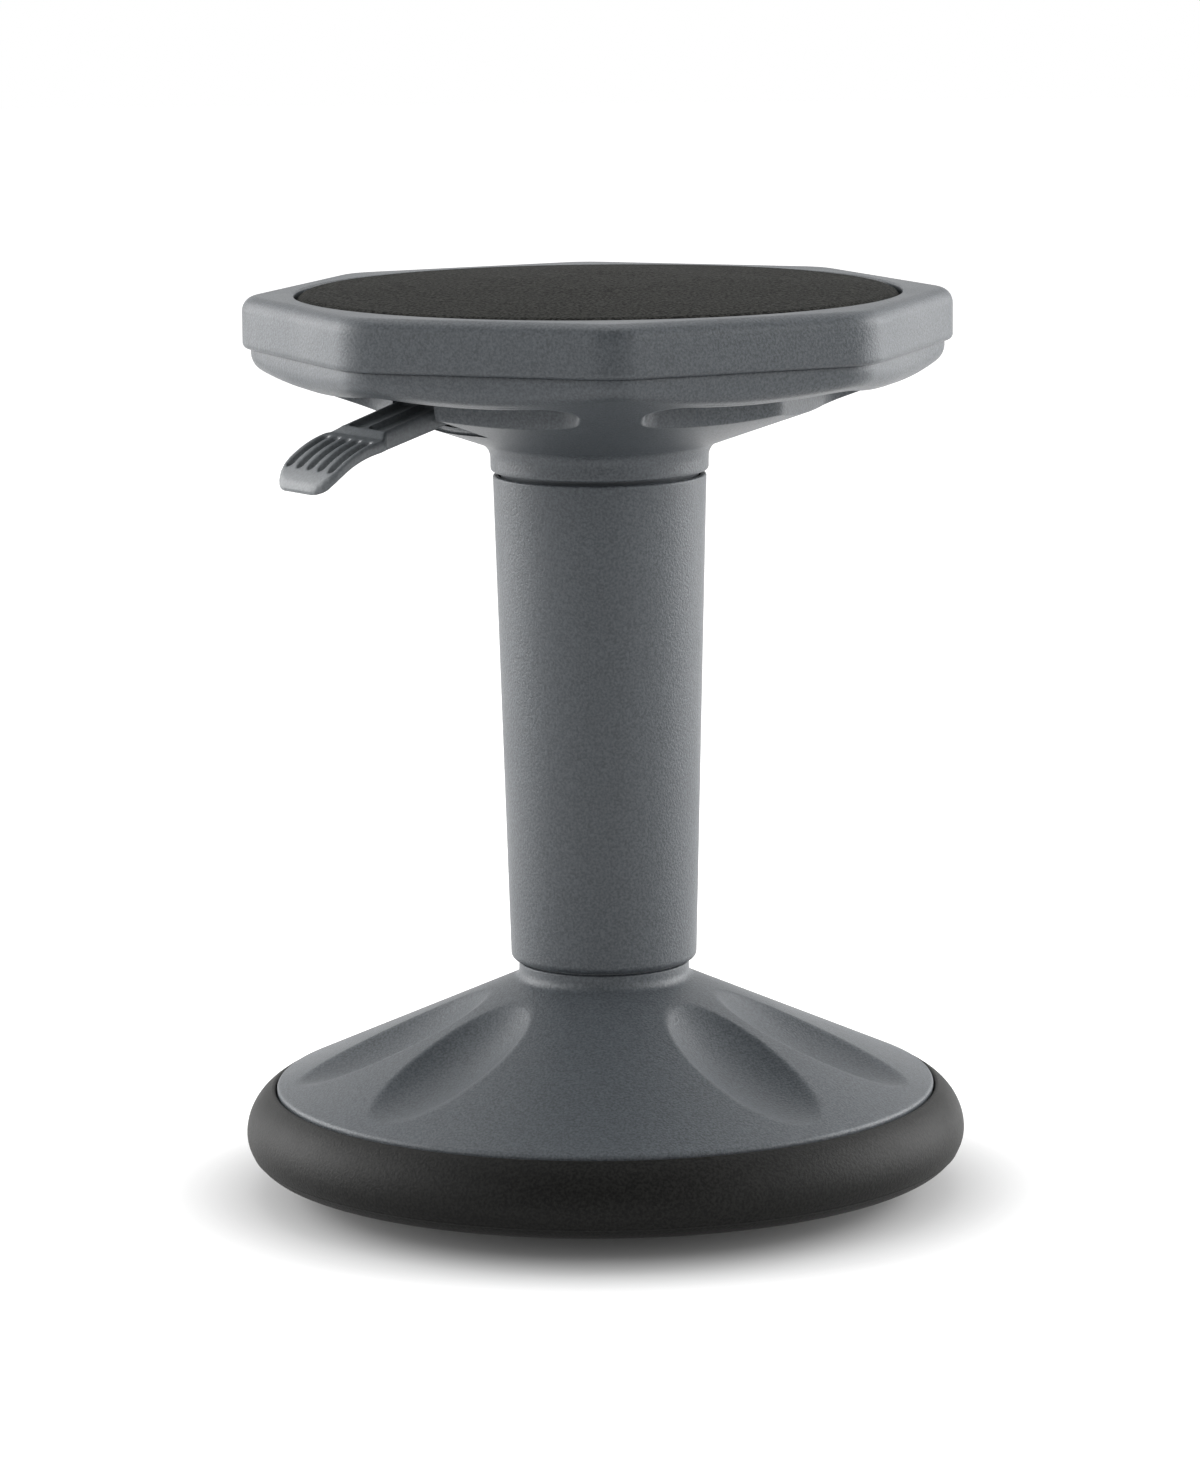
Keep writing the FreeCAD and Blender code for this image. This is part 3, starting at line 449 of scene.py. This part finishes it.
WINDOW_START = 84.0
WINDOW_TOP = 408.8
EDGE_STEP = 0.4
ROUND_WITHIN = 78.0
OCTAGON_FROM = 100.0
PULL_FROM = 77.0
PULL_TO = 135.0
PULL_WIDTH = math.radians(11)


def octagon_radius(azimuth, apothem, corner):
    """Distance from the centre to a rounded octagon: apothem / cos to its flats, and the far root
    of the line-circle equation where the azimuth falls within a corner's arc."""
    local = np.angle(np.exp(8j * (azimuth - CORNER_AZIMUTH))) / 8
    middle = (apothem - corner) / math.cos(BEND)
    limit = np.arctan2(corner * math.sin(BEND), middle + corner * math.cos(BEND))
    across = middle * np.sin(local)
    arc = middle * np.cos(local) + np.sqrt(np.maximum(corner ** 2 - across ** 2, 0))
    return np.where(np.abs(local) < limit, arc, apothem / np.cos(BEND - np.abs(local)))


def underside(r):
    """Height of the funnel at radius r."""
    return FUNNEL_FOOT + UNDER_SLOPE * (r - FUNNEL_START)


def meet(first, second, radius, cosine):
    """Depth inside two planes whose edge has a round: radius less the distance from the arc's
    centre within its wedge, and the smaller of the two depths elsewhere. The cosine is that
    between the planes' normals."""
    a = radius - first
    b = radius - second
    apart = np.sqrt(np.maximum(a * a + b * b - 2 * a * b * cosine, 0)) / math.sqrt(1 - cosine ** 2)
    wedge = (a > b * cosine) & (b > a * cosine)
    return radius - np.where(wedge, apart, np.maximum(a, b))


def pocket_depth(x, y, grown):
    """Depth inside the nearest grip pocket's outline in plan, grown by the wall round it: a band
    between two octagons round one corner, rounded beside its spokes.

    The place is folded by quarter turns onto one pocket and by its mirror line onto one half."""
    azimuth = np.arctan2(x, -y)
    r = np.hypot(x, y)
    local = np.abs(np.angle(np.exp(4j * (azimuth - CORNER_AZIMUTH - math.pi / 4))) / 4)
    px = r * np.cos(local)
    py = r * np.sin(local)
    near = px * math.cos(BEND) + py * math.sin(BEND)
    far = px * math.cos(BEND) - py * math.sin(BEND)
    outside = POCKET_OUTER + grown
    outer = meet(outside - near, outside - far, POCKET_OUTER_ROUND + grown, math.cos(2 * BEND))
    inside = POCKET_INNER - grown
    inner = -meet(inside - near, inside - far, POCKET_INNER_ROUND - grown, math.cos(2 * BEND))
    spoke = (px - py) * math.sqrt(0.5) - SPOKE_HALF + grown
    tips = meet(outer, spoke, POCKET_TIP_ROUND + grown, math.cos(5 * BEND))
    heels = meet(inner, spoke, POCKET_HEEL_ROUND + grown, math.cos(3 * BEND))
    return np.minimum(tips, heels)


def soft_least(a, b, k):
    """Smaller of two values, blended over k where they are close:
    min - max(k - |a - b|, 0)^2 / 4k."""
    return np.minimum(a, b) - np.maximum(k - np.abs(a - b), 0) ** 2 / (4 * k)


def pocket_height(x, y, rise, grown):
    """Height of the funnel with its pockets: steep walls up from the cone, by a soft maximum of
    0 and the depth times their steepness, turned softly into a flat roof."""
    depth = pocket_depth(x, y, grown) - 0.3
    wall = POCKET_STEEPNESS * POCKET_LIP * np.logaddexp(0, depth / POCKET_LIP)
    cone = underside(np.hypot(x, y)) + rise
    return soft_least(cone + wall, POCKET_ROOF + grown, ROOF_ROUND)


def seat_columns():
    """Column places from a spoke's middle (0) by its wall (1) to a pocket's middle (2), mirrored
    to a quarter. They crowd together beside the wall."""
    before = np.array([15.6, 12.5, 9.5, 7, 5, 3.6, 2.4, 1.4, 0.5])
    after = np.array([0.3, 1.0, 1.7, 2.4, 3.2, 4.0, 4.9, 5.8, 6.8, 7.8, 8.9, 10, 11.1, 12.3, 13.6,
                      15, 17, 19.5, 22.5, 26, 30, 35, 40, 45.5, 51, 56.5, 62, 66.5, 70, 73, 75.5,
                      78, 80.5])
    half = np.concatenate([1 - before / SPOKE_HALF, 1 + after / SPOKE_TO_MIDDLE])
    return np.concatenate([half, [2], 4 - half[:0:-1]])


def seat_azimuths(ring):
    """Azimuth of every column at each ring's radius, so that the columns beside a spoke keep its
    width: the wall's column stands at asin(half width / r) from the spoke's middle."""
    place = np.tile(seat_columns(), 4)
    quarter = np.repeat(np.arange(4), len(seat_columns()))
    mirrored = place > 2
    u = np.where(mirrored, 4 - place, place)[None, :]
    wall = np.arcsin(SPOKE_HALF / np.clip(ring, 100, 160))[:, None]
    swing = np.where(u < 1, u * wall, wall + (u - 1) * (math.pi / 4 - wall))
    swing = np.where(mirrored[None, :], math.pi / 2 - swing, swing)
    return CORNER_AZIMUTH + quarter[None, :] * math.pi / 2 + swing


def ease(t):
    """Share that rises smoothly from 0 to 1 as t does: 3 t^2 - 2 t^3, held at its ends."""
    t = np.clip(t, 0, 1)
    return t * t * (3 - 2 * t)


rise = SHELL_WALL * math.sqrt(1 + UNDER_SLOPE ** 2)
neck = rounded_outline([
    (49, 376, 0), (49, 358, 0.6), (53.15, 358, 1.6), (53.4, underside(53.4), 8),
    (76, underside(76), 0)], closed=False, arc_steps=8, run=3)
funnel_rings = np.concatenate([
    np.linspace(ROUND_WITHIN, 102, 12), np.arange(103, 111.2, 0.42), np.arange(112, 142, 1.05),
    np.arange(142, 149.4, 0.42)])
rim = rounded_outline([(-8.6, -8.6 * UNDER_SLOPE, 0), (0, 0, 9.0), (0, 8.4, 0)],
                      closed=False, arc_steps=9, run=1.5)
ledge = rounded_outline([(74, underside(74) + rise, 0), (60.5, 376.0, 1.0), (49.6, 376.0, 0)],
                        closed=False, arc_steps=4, run=4)
neck_azimuth = seat_azimuths(neck[-1:, 0])
ring_azimuths = seat_azimuths(funnel_rings)
rim_azimuth = seat_azimuths(np.array([LOWER_APOTHEM]))
columns = rim_azimuth.size

# The two columns nearest the window's sides are brought onto them, and their neighbours follow.
sides = np.arcsin(np.minimum(WINDOW_HALF / funnel_rings, 1))
beside_lever = np.angle(np.exp(1j * (ring_azimuths - LEVER_AZIMUTH)))
fade = np.clip((PULL_TO - funnel_rings) / 20, 0, 1) * np.clip((funnel_rings - PULL_FROM) / 4, 0, 1)
middle_ring = int(np.argmin(np.abs(funnel_rings - OCTAGON_FROM)))
window_columns = []
bent = ring_azimuths.copy()
for side in (-1, 1):
    column = int(np.argmin(np.abs(beside_lever[middle_ring] - side * sides[middle_ring])))
    window_columns.append(column)
    shift = side * sides - beside_lever[:, column]
    away = np.angle(np.exp(1j * (ring_azimuths - ring_azimuths[:, column:column + 1])))
    bent += (shift * fade)[:, None] * np.clip(1 - np.abs(away) / PULL_WIDTH, 0, 1)

# The funnel's rings turn from circles beside the neck into rounded octagons outside.
share = ease((funnel_rings - ROUND_WITHIN) / (OCTAGON_FROM - ROUND_WITHIN))[:, None]
corner = np.interp(funnel_rings, [OCTAGON_FROM, POCKET_INNER, POCKET_OUTER, LOWER_APOTHEM],
                   [5, POCKET_INNER_ROUND, POCKET_OUTER_ROUND, LOWER_CORNER])[:, None]
octagon = octagon_radius(bent, funnel_rings[:, None], corner)
ring_radius = (1 - share) * funnel_rings[:, None] + share * octagon
ring_x = ring_radius * np.sin(bent)
ring_y = -ring_radius * np.cos(bent)
outer_rings = np.stack([ring_x, ring_y, pocket_height(ring_x, ring_y, 0, 0)], -1)
inner_rings = np.stack([ring_x, ring_y, pocket_height(ring_x, ring_y, rise, SHELL_WALL)], -1)

neck_rows = about(neck[:, :1], neck[:, 1:], neck_azimuth)
edge = octagon_radius(rim_azimuth, LOWER_APOTHEM, LOWER_CORNER)
rim_rows = about(edge + rim[:, :1], np.minimum(underside(edge) + rim[:, 1:], SEAM - 0.5),
                 rim_azimuth)
top_rows = np.concatenate([
    about(octagon_radius(rim_azimuth, LOWER_APOTHEM - inset, LOWER_CORNER - inset), height,
          rim_azimuth)
    for inset, height in ((0.0, SEAM - 0.3), (0.15, SEAM), (1.5, SEAM), (2.85, SEAM),
                          (SHELL_WALL, SEAM - 0.3), (SHELL_WALL, 416.5))])
inside_edge = octagon_radius(rim_azimuth, LOWER_APOTHEM - SHELL_WALL, LOWER_CORNER - SHELL_WALL)
step_rows = np.concatenate([
    about(inside_edge, underside(inside_edge) + rise + EDGE_STEP, rim_azimuth),
    about(inside_edge - EDGE_STEP, underside(inside_edge - EDGE_STEP) + rise, rim_azimuth)])
ledge_rows = about(ledge[:, :1], ledge[:, 1:], neck_azimuth)
lower_points = np.concatenate([
    neck_rows, outer_rings, rim_rows, top_rows, step_rows, inner_rings[::-1], ledge_rows])
lower_rows = len(lower_points)
first_outer = len(neck_rows)
last_inner = lower_rows - len(ledge_rows) - 1


def open_window(faces):
    """Take the window's cells out of both sheets, and close its rim between them with one loop of
    faces: along its start, up one side, back along its top and down the other side."""
    low, high = window_columns
    across = (low + np.arange((high - low) % columns + 1)) % columns
    start = int(np.argmin(np.abs(funnel_rings - WINDOW_START)))
    height = np.where(funnel_rings > POCKET_INNER - 1, outer_rings[:, (low + 6) % columns, 2], 0)
    top = int(np.argmax(height > WINDOW_TOP))
    keep = np.ones((lower_rows, columns), bool)
    keep[first_outer + start:first_outer + top, across[:-1]] = False
    keep[last_inner - top:last_inner - start, across[:-1]] = False
    loop_rows = np.concatenate([np.full(len(across) - 1, start), np.arange(start, top),
                                np.full(len(across) - 1, top), np.arange(top, start, -1)])
    loop_columns = np.concatenate([across[:-1], np.full(top - start, high),
                                   across[:0:-1], np.full(top - start, low)])
    outer = (first_outer + loop_rows) * columns + loop_columns
    inner = (last_inner - loop_rows) * columns + loop_columns
    closing = np.stack([outer, np.roll(outer, -1), np.roll(inner, -1), inner], -1)
    return np.concatenate([faces[keep.ravel()], closing])


mesh_piece("seat_lower_moulding", lower_points.reshape(-1, 3),
           open_window(ring_faces(lower_rows, columns, True)),
           "seat", shell_grey, "shell_plastic", "seat_lower_shell")


# Lever grip
# Plastic a shade paler than the shells, moulded over the bent steel arm: a flat bar with two sunk
# panels, and a curved paddle with five slots.
ARM_FALL = 0.277
GRIP_START = 97.0
PADDLE_TIP = 177.0
SLOT_MIDDLE = 158.25
SLOT_PITCH = 8.8
PANEL_MIDDLE = 120.0
PANEL_OFFSET = 8.2
PANEL_DEPTH = 2.6
PANEL_EDGE = 0.9
GRIP_ROUND = 1.6
GRID = 0.62
NUDGE = 0.02


def arm_centre(reach):
    """Height of the sloping lever's middle at a reach from the centre line."""
    return 411.5 - ARM_FALL * (reach - 40.0)


def outline_depth(x, y, outline):
    """Signed distance inside a closed outline: the least distance to its runs, positive where a
    ray to the right crosses it an odd number of times."""
    a = outline[None, :, :]
    b = np.roll(outline, -1, 0)[None, :, :]
    p = np.stack([x.ravel(), y.ravel()], -1)[:, None, :]
    run = b - a
    t = np.clip(((p - a) * run).sum(-1) / (run * run).sum(-1), 0, 1)
    distance = np.linalg.norm(p - a - t[..., None] * run, axis=-1).min(1)
    straddles = (a[..., 1] > p[..., 1]) != (b[..., 1] > p[..., 1])
    climb = np.where(run[..., 1] == 0, 1e-9, run[..., 1])
    cross = a[..., 0] + (p[..., 1] - a[..., 1]) * run[..., 0] / climb
    inside = (straddles & (p[..., 0] < cross)).sum(1) % 2 == 1
    return np.where(inside, distance, -distance).reshape(x.shape)


def rounded_box_depth(x, y, half_x, half_y, radius):
    """Signed distance inside a rounded rectangle about the origin: radius less the distance from
    the rectangle drawn in by it."""
    qx = np.abs(x) - half_x + radius
    qy = np.abs(y) - half_y + radius
    outside = np.hypot(np.maximum(qx, 0), np.maximum(qy, 0))
    return radius - outside - np.minimum(np.maximum(qx, qy), 0)


grip_plan = rounded_outline([
    (GRIP_START, -18.5, 0.8), (138.5, -18.5, 3), (143.5, -24.5, 4), (PADDLE_TIP, -22.5, 12),
    (PADDLE_TIP, 22.5, 12), (143.5, 24.5, 4), (138.5, 18.5, 3), (GRIP_START, 18.5, 0.8)], run=8)


def grip_depth(x, y):
    """Distance inside the grip's plan, clear of its five slots."""
    depth = outline_depth(x, y, grip_plan)
    for k in range(-2, 3):
        slot = rounded_box_depth(x - SLOT_MIDDLE, y - SLOT_PITCH * k, 11.25, 1.9, 1.85)
        depth = np.minimum(depth, -slot)
    return depth


# A grid over the plan: the cells inside are kept, and their border is drawn onto the outline.
gx, gy = np.meshgrid(np.arange(GRIP_START - 0.6, PADDLE_TIP + 1.3, GRID),
                     np.arange(-25.4, 25.5, GRID), indexing="ij")
depth = grip_depth(gx, gy)
cell_corners = np.stack([depth[:-1, :-1], depth[1:, :-1], depth[:-1, 1:], depth[1:, 1:]])
use_cell = (cell_corners.max(0) > 0.22) & (cell_corners.min(0) > -GRID)
touched = np.zeros(depth.shape, int)
for di in (0, 1):
    for dj in (0, 1):
        touched[di:di + use_cell.shape[0], dj:dj + use_cell.shape[1]] += use_cell
border = (touched > 0) & (touched < 4)
for _ in range(4):
    bx = gx[border]
    by = gy[border]
    slope_x = (grip_depth(bx + NUDGE, by) - grip_depth(bx - NUDGE, by)) / (2 * NUDGE)
    slope_y = (grip_depth(bx, by + NUDGE) - grip_depth(bx, by - NUDGE)) / (2 * NUDGE)
    move = grip_depth(bx, by) / np.maximum(slope_x ** 2 + slope_y ** 2, 0.25)
    gx[border] -= move * slope_x
    gy[border] -= move * slope_y
depth = np.maximum(grip_depth(gx, gy), 0)
depth[border] = 0

# The plan is given its thickness along the bar and the paddle, with sunk panels and round edges.
under_line = np.concatenate([
    [(96, arm_centre(96) - 5.2), (139.4, 379.0)],
    through((142.0, 379.7), (159.6, 373.9), (172.9, 363.0), 20), [(178, 359.4)]])
over_line = np.concatenate([
    [(96, arm_centre(96) + 4.8), (138.6, 388.4)],
    through((142.6, 385.3), (160.8, 378.5), (175.7, 366.0), 20), [(178, 363.0)]])
bottom = np.interp(gx, under_line[:, 0], under_line[:, 1])
top = np.interp(gx, over_line[:, 0], over_line[:, 1])
for side in (-1, 1):
    panel = rounded_box_depth(gx - PANEL_MIDDLE, gy - side * PANEL_OFFSET, 17, 6.6, 3)
    top = top - PANEL_DEPTH * ease(panel / PANEL_EDGE + 0.5)
middle = 0.5 * (top + bottom)
half = 0.5 * (top - bottom)
round_over = np.minimum(GRIP_ROUND, 0.9 * half)
curl = np.sqrt(np.maximum(1 - (1 - np.clip(depth / round_over, 0, 1)) ** 2, 0))
half_edge = half - round_over * (1 - curl)
lever_turn = LEVER_AZIMUTH - math.pi / 2
upper = np.stack([gx * math.cos(lever_turn) - gy * math.sin(lever_turn),
                  gx * math.sin(lever_turn) + gy * math.cos(lever_turn), middle + half_edge], -1)
lower = upper.copy()
lower[..., 2] = middle - half_edge

# The upper and lower sheets are joined along every edge that belongs to one cell alone.
index = np.arange(gx.size).reshape(gx.shape)
quads = np.stack([index[:-1, :-1], index[1:, :-1], index[1:, 1:], index[:-1, 1:]], -1)[use_cell]
edges = np.concatenate([quads[:, [k, (k + 1) % 4]] for k in range(4)])
key = np.sort(edges, 1) @ np.array([gx.size, 1])
_, first, count = np.unique(key, return_index=True, return_counts=True)
open_start, open_end = edges[first[count == 1]].T
joining = np.stack([open_end, open_start, open_start + gx.size, open_end + gx.size], -1)
used, grip_faces = np.unique(np.concatenate([quads, quads[:, ::-1] + gx.size, joining]),
                             return_inverse=True)
grip_points = np.concatenate([upper.reshape(-1, 3), lower.reshape(-1, 3)])[used]
lever_grey = finish("lever_plastic", (0.112, 0.122, 0.130), 0.42, grain=0.0014, relief=0.00012,
                    speckle=0.2, cloud=0.03)
mesh_piece("lever_grip_moulding", grip_points, grip_faces.reshape(-1, 4),
           "lever", lever_grey, "lever_plastic", "lever_grip")


# Seat top moulding
# Octagonal rim of grained plastic with a round recess for the pad, open underneath.
# It is screwed to the steel plate from below.
SEAT_APOTHEM = 161.7
SEAT_CORNER = 30.0
RIM_TOP = 445.0
RIM_ROUND = 7.5
SEAM_ROUND = 3.0
RECESS_RADIUS = 147.5
RECESS_FLOOR = 437.0
RECESS_LIP = 1.2
RECESS_UNDER = 434.0
INSIDE_ROUND = 6.9


def octagon_row(inset, height):
    """One row of the moulding at an even inset from its outermost octagon."""
    return about(octagon_radius(rim_azimuth, SEAT_APOTHEM - inset, SEAT_CORNER - inset), height,
                 rim_azimuth)


def circle_row(radius, height):
    """One row of the moulding at a radius."""
    return about(np.array([[radius]]), height, rim_azimuth)


quarter_turn = np.radians(np.linspace(0, 90, 9))
floor_rows = np.concatenate([
    circle_row(r, RECESS_FLOOR) for r in (0.0, 30, 60, 90, 120, 140, 146.6, 147.2)])
wall_rows = np.concatenate(
    [circle_row(RECESS_RADIUS, z) for z in (437.3, 438.2, 440, 442, 443.2)]
    + [circle_row(RECESS_RADIUS + RECESS_LIP * (1 - math.cos(a)),
                  RIM_TOP - RECESS_LIP + RECESS_LIP * math.sin(a)) for a in quarter_turn[::2]])
rim_edge = np.concatenate([
    octagon_row(RIM_ROUND * (1 - math.sin(a)), RIM_TOP - RIM_ROUND * (1 - math.cos(a)))
    for a in np.radians(np.linspace(0, 90, 15))])
flat_shares = np.array([0.12, 0.2, 0.4, 0.6, 0.8])[:, None, None]
flat_rows = wall_rows[-1:] + flat_shares * (rim_edge[:1] - wall_rows[-1:])
side_rows = np.concatenate(
    [octagon_row(0, z) for z in (434.2, 431, 427, 423.4)]
    + [octagon_row(SEAM_ROUND * (1 - math.cos(a)), SEAM + SEAM_ROUND - SEAM_ROUND * math.sin(a))
       for a in quarter_turn])
in_rows = np.concatenate(
    [octagon_row(3.05, SEAM + 0.3), octagon_row(3.05, 426), octagon_row(3.05, 434.9)]
    + [octagon_row(3.05 + INSIDE_ROUND * (1 - math.cos(a)), 435 + INSIDE_ROUND * math.sin(a))
       for a in quarter_turn[1::2]])
hang_rows = np.concatenate(
    [circle_row(150.9, 441.9), circle_row(150.6, 441.6), circle_row(150.5, 438),
     circle_row(150.4, RECESS_UNDER + 0.3)]
    + [circle_row(r, RECESS_UNDER) for r in (150.1, 140, 100, 50, 0.0)])
top_points = np.concatenate([
    floor_rows, wall_rows, flat_rows, rim_edge, side_rows, in_rows, hang_rows])
mesh_piece("seat_top_moulding", top_points.reshape(-1, 3),
           ring_faces(len(top_points), columns, False),
           "seat", shell_grey, "shell_plastic", "seat_top_shell")


# Seat pad
# Round crowned cushion of integral-skin foam, its edge rolled over and drawn in at the foot.
# It is pressed into the recess and lies flat on its floor.
PAD_RADIUS = 146.4
PAD_FOOT = 437.1
PAD_STEPS = 360
CROWN_TOP = 449.8
CROWN_DROP = 4.2
SWAY_HEIGHT = 0.10
crown_edge = PAD_RADIUS - 7.5
ball = (crown_edge ** 2 + CROWN_DROP ** 2) / (2 * CROWN_DROP)
crown_r = crown_edge * np.sqrt(np.linspace(1, 0, 40))
crown = np.stack([crown_r, CROWN_TOP - ball + np.sqrt(ball ** 2 - crown_r ** 2)], -1)
pad_section = np.concatenate([
    [(r, PAD_FOOT) for r in (0.0, 60, 110, 138, 143.8)],
    through((144.8, 437.3), (146.3, 440.2), (145.5, 443.1), 12),
    through((145.5, 443.1), (143.2, 444.9), (crown_edge, CROWN_TOP - CROWN_DROP), 16)[1:-1],
    crown])
pad_r = pad_section[:, :1]
pad_z = pad_section[:, 1:]
around = all_round(PAD_STEPS)
sway = np.sin(3 * around + 0.7) + 0.6 * np.sin(7 * around + 2.1)
at_edge = np.clip((pad_z - 442) / 3, 0, 1) * np.clip(pad_r / 145, 0, 1) ** 4
pad_points = about(pad_r, pad_z + SWAY_HEIGHT * sway * at_edge, around)
pad_skin = finish("pad_foam", (0.021, 0.021, 0.019), 0.8, grain=0.0015, relief=0.0004,
                  speckle=0.85, cloud=0.05, specular=0.06, contrast=2.4)
pad = mesh_piece("seat_cushion", pad_points.reshape(-1, 3),
                 ring_faces(len(pad_section), PAD_STEPS, False),
                 "seat", pad_skin, "pad_foam", "seat_pad")


# Studio
# White sweep under the stool, a large softbox on either side, two dim ones in front, one above.
# Floor and world turn white for the camera, gloss and glass alone; the floor keeps its shadow,
# deepened by painted shade.
FLOOR_GREY = 0.5
# Glow by distance in metres from the middle under the stool: none within 0.14, so painted shade
# greys the floor round the stool, lit or not, and in reflections.
FLOOR_GLOW_AND_PAINTED_SHADE = ((0.14, 0.0), (0.185, 0.36), (0.225, 0.72), (0.32, 1.0))
WORLD_LIGHT = 0.27
FRONT_GLOSS = 0.10
floor_mesh = bpy.data.meshes.new("studio_floor")
floor_mesh.from_pydata([(-9, -9, 0), (9, -9, 0), (9, 9, 0), (-9, 9, 0)], [], [(0, 1, 2, 3)])
studio_floor = bpy.data.objects.new("studio_floor", floor_mesh)
bpy.context.collection.objects.link(studio_floor)


def seen_only(tree):
    """Value 1 for rays from the camera, a reflection or glass, and 0 for rays of diffuse light."""
    path = tree.nodes.new("ShaderNodeLightPath")
    either = combine(tree, "MAXIMUM", path.outputs["Is Camera Ray"], path.outputs["Is Glossy Ray"])
    return combine(tree, "MAXIMUM", either, path.outputs["Is Transmission Ray"])


floor_white = bpy.data.materials.new("studio_floor")
floor_white.use_nodes = True
tree = floor_white.node_tree
tree.nodes.clear()
output = tree.nodes.new("ShaderNodeOutputMaterial")
matt = tree.nodes.new("ShaderNodeBsdfDiffuse")
matt.inputs["Color"].default_value = (FLOOR_GREY, FLOOR_GREY, FLOOR_GREY, 1)
glow = tree.nodes.new("ShaderNodeEmission")
place = tree.nodes.new("ShaderNodeTexCoord")
reach_out = tree.nodes.new("ShaderNodeVectorMath")
reach_out.operation = "LENGTH"
tree.links.new(place.outputs["Object"], reach_out.inputs[0])
# This ramp paints the shade round the stool: the floor's glow falls to nothing near it.
glow_ramp_painting_shade = tree.nodes.new("ShaderNodeValToRGB")
glow_ramp_painting_shade.color_ramp.interpolation = "B_SPLINE"
for stop, level in FLOOR_GLOW_AND_PAINTED_SHADE:
    glow_ramp_painting_shade.color_ramp.elements.new(stop).color = (level, level, level, 1)
tree.links.new(reach_out.outputs["Value"], glow_ramp_painting_shade.inputs["Fac"])
tree.links.new(combine(tree, "MULTIPLY", seen_only(tree), glow_ramp_painting_shade.outputs["Color"]),
               glow.inputs["Strength"])
together = tree.nodes.new("ShaderNodeAddShader")
tree.links.new(matt.outputs["BSDF"], together.inputs[0])
tree.links.new(glow.outputs["Emission"], together.inputs[1])
tree.links.new(together.outputs["Shader"], output.inputs["Surface"])
floor_mesh.materials.append(floor_white)

world = bpy.data.worlds.new("studio")
bpy.context.scene.world = world
world.use_nodes = True
tree = world.node_tree
back = tree.nodes["Background"]
back.inputs["Color"].default_value = (1, 1, 1, 1)
place = tree.nodes.new("ShaderNodeTexCoord")
split = tree.nodes.new("ShaderNodeSeparateXYZ")
tree.links.new(place.outputs["Generated"], split.inputs["Vector"])
shine = tree.nodes.new("ShaderNodeMix")
shine.inputs["A"].default_value = WORLD_LIGHT
tree.links.new(seen_only(tree), shine.inputs["Factor"])
tree.links.new(remap(tree, split.outputs["Y"], -0.75, 0.15, FRONT_GLOSS, 1.0), shine.inputs["B"])
path = tree.nodes.new("ShaderNodeLightPath")
tree.links.new(combine(tree, "MAXIMUM", path.outputs["Is Camera Ray"], shine.outputs["Result"]),
               back.inputs["Strength"])


def softbox(name, place, aim_height, width, height, power):
    """Rectangular lamp turned to face the centre line at a height."""
    lamp = bpy.data.lights.new(name, "AREA")
    lamp.shape = "RECTANGLE"
    lamp.size = width
    lamp.size_y = height
    lamp.energy = power
    holder = bpy.data.objects.new(name, lamp)
    bpy.context.collection.objects.link(holder)
    stand = Matrix.Translation(place)
    direction = Matrix.Translation((0, 0, aim_height)).translation - stand.translation
    holder.matrix_world = stand @ direction.to_track_quat("-Z", "Y").to_matrix().to_4x4()


softbox("softbox_left", (-2.1, 0.6, 0.9), 0.25, 2.3, 1.7, 60)
softbox("softbox_right", (2.1, 0.6, 0.9), 0.25, 2.3, 1.7, 62)
softbox("softbox_front_left", (-2.2, -1.9, 1.3), 0.25, 1.8, 1.5, 18)
softbox("softbox_front_right", (2.2, -1.9, 1.3), 0.25, 1.8, 1.5, 22)
softbox("softbox_top", (0, 0.4, 2.6), 0.3, 1.8, 1.8, 14)

bpy.context.scene.view_settings.view_transform = "Standard"
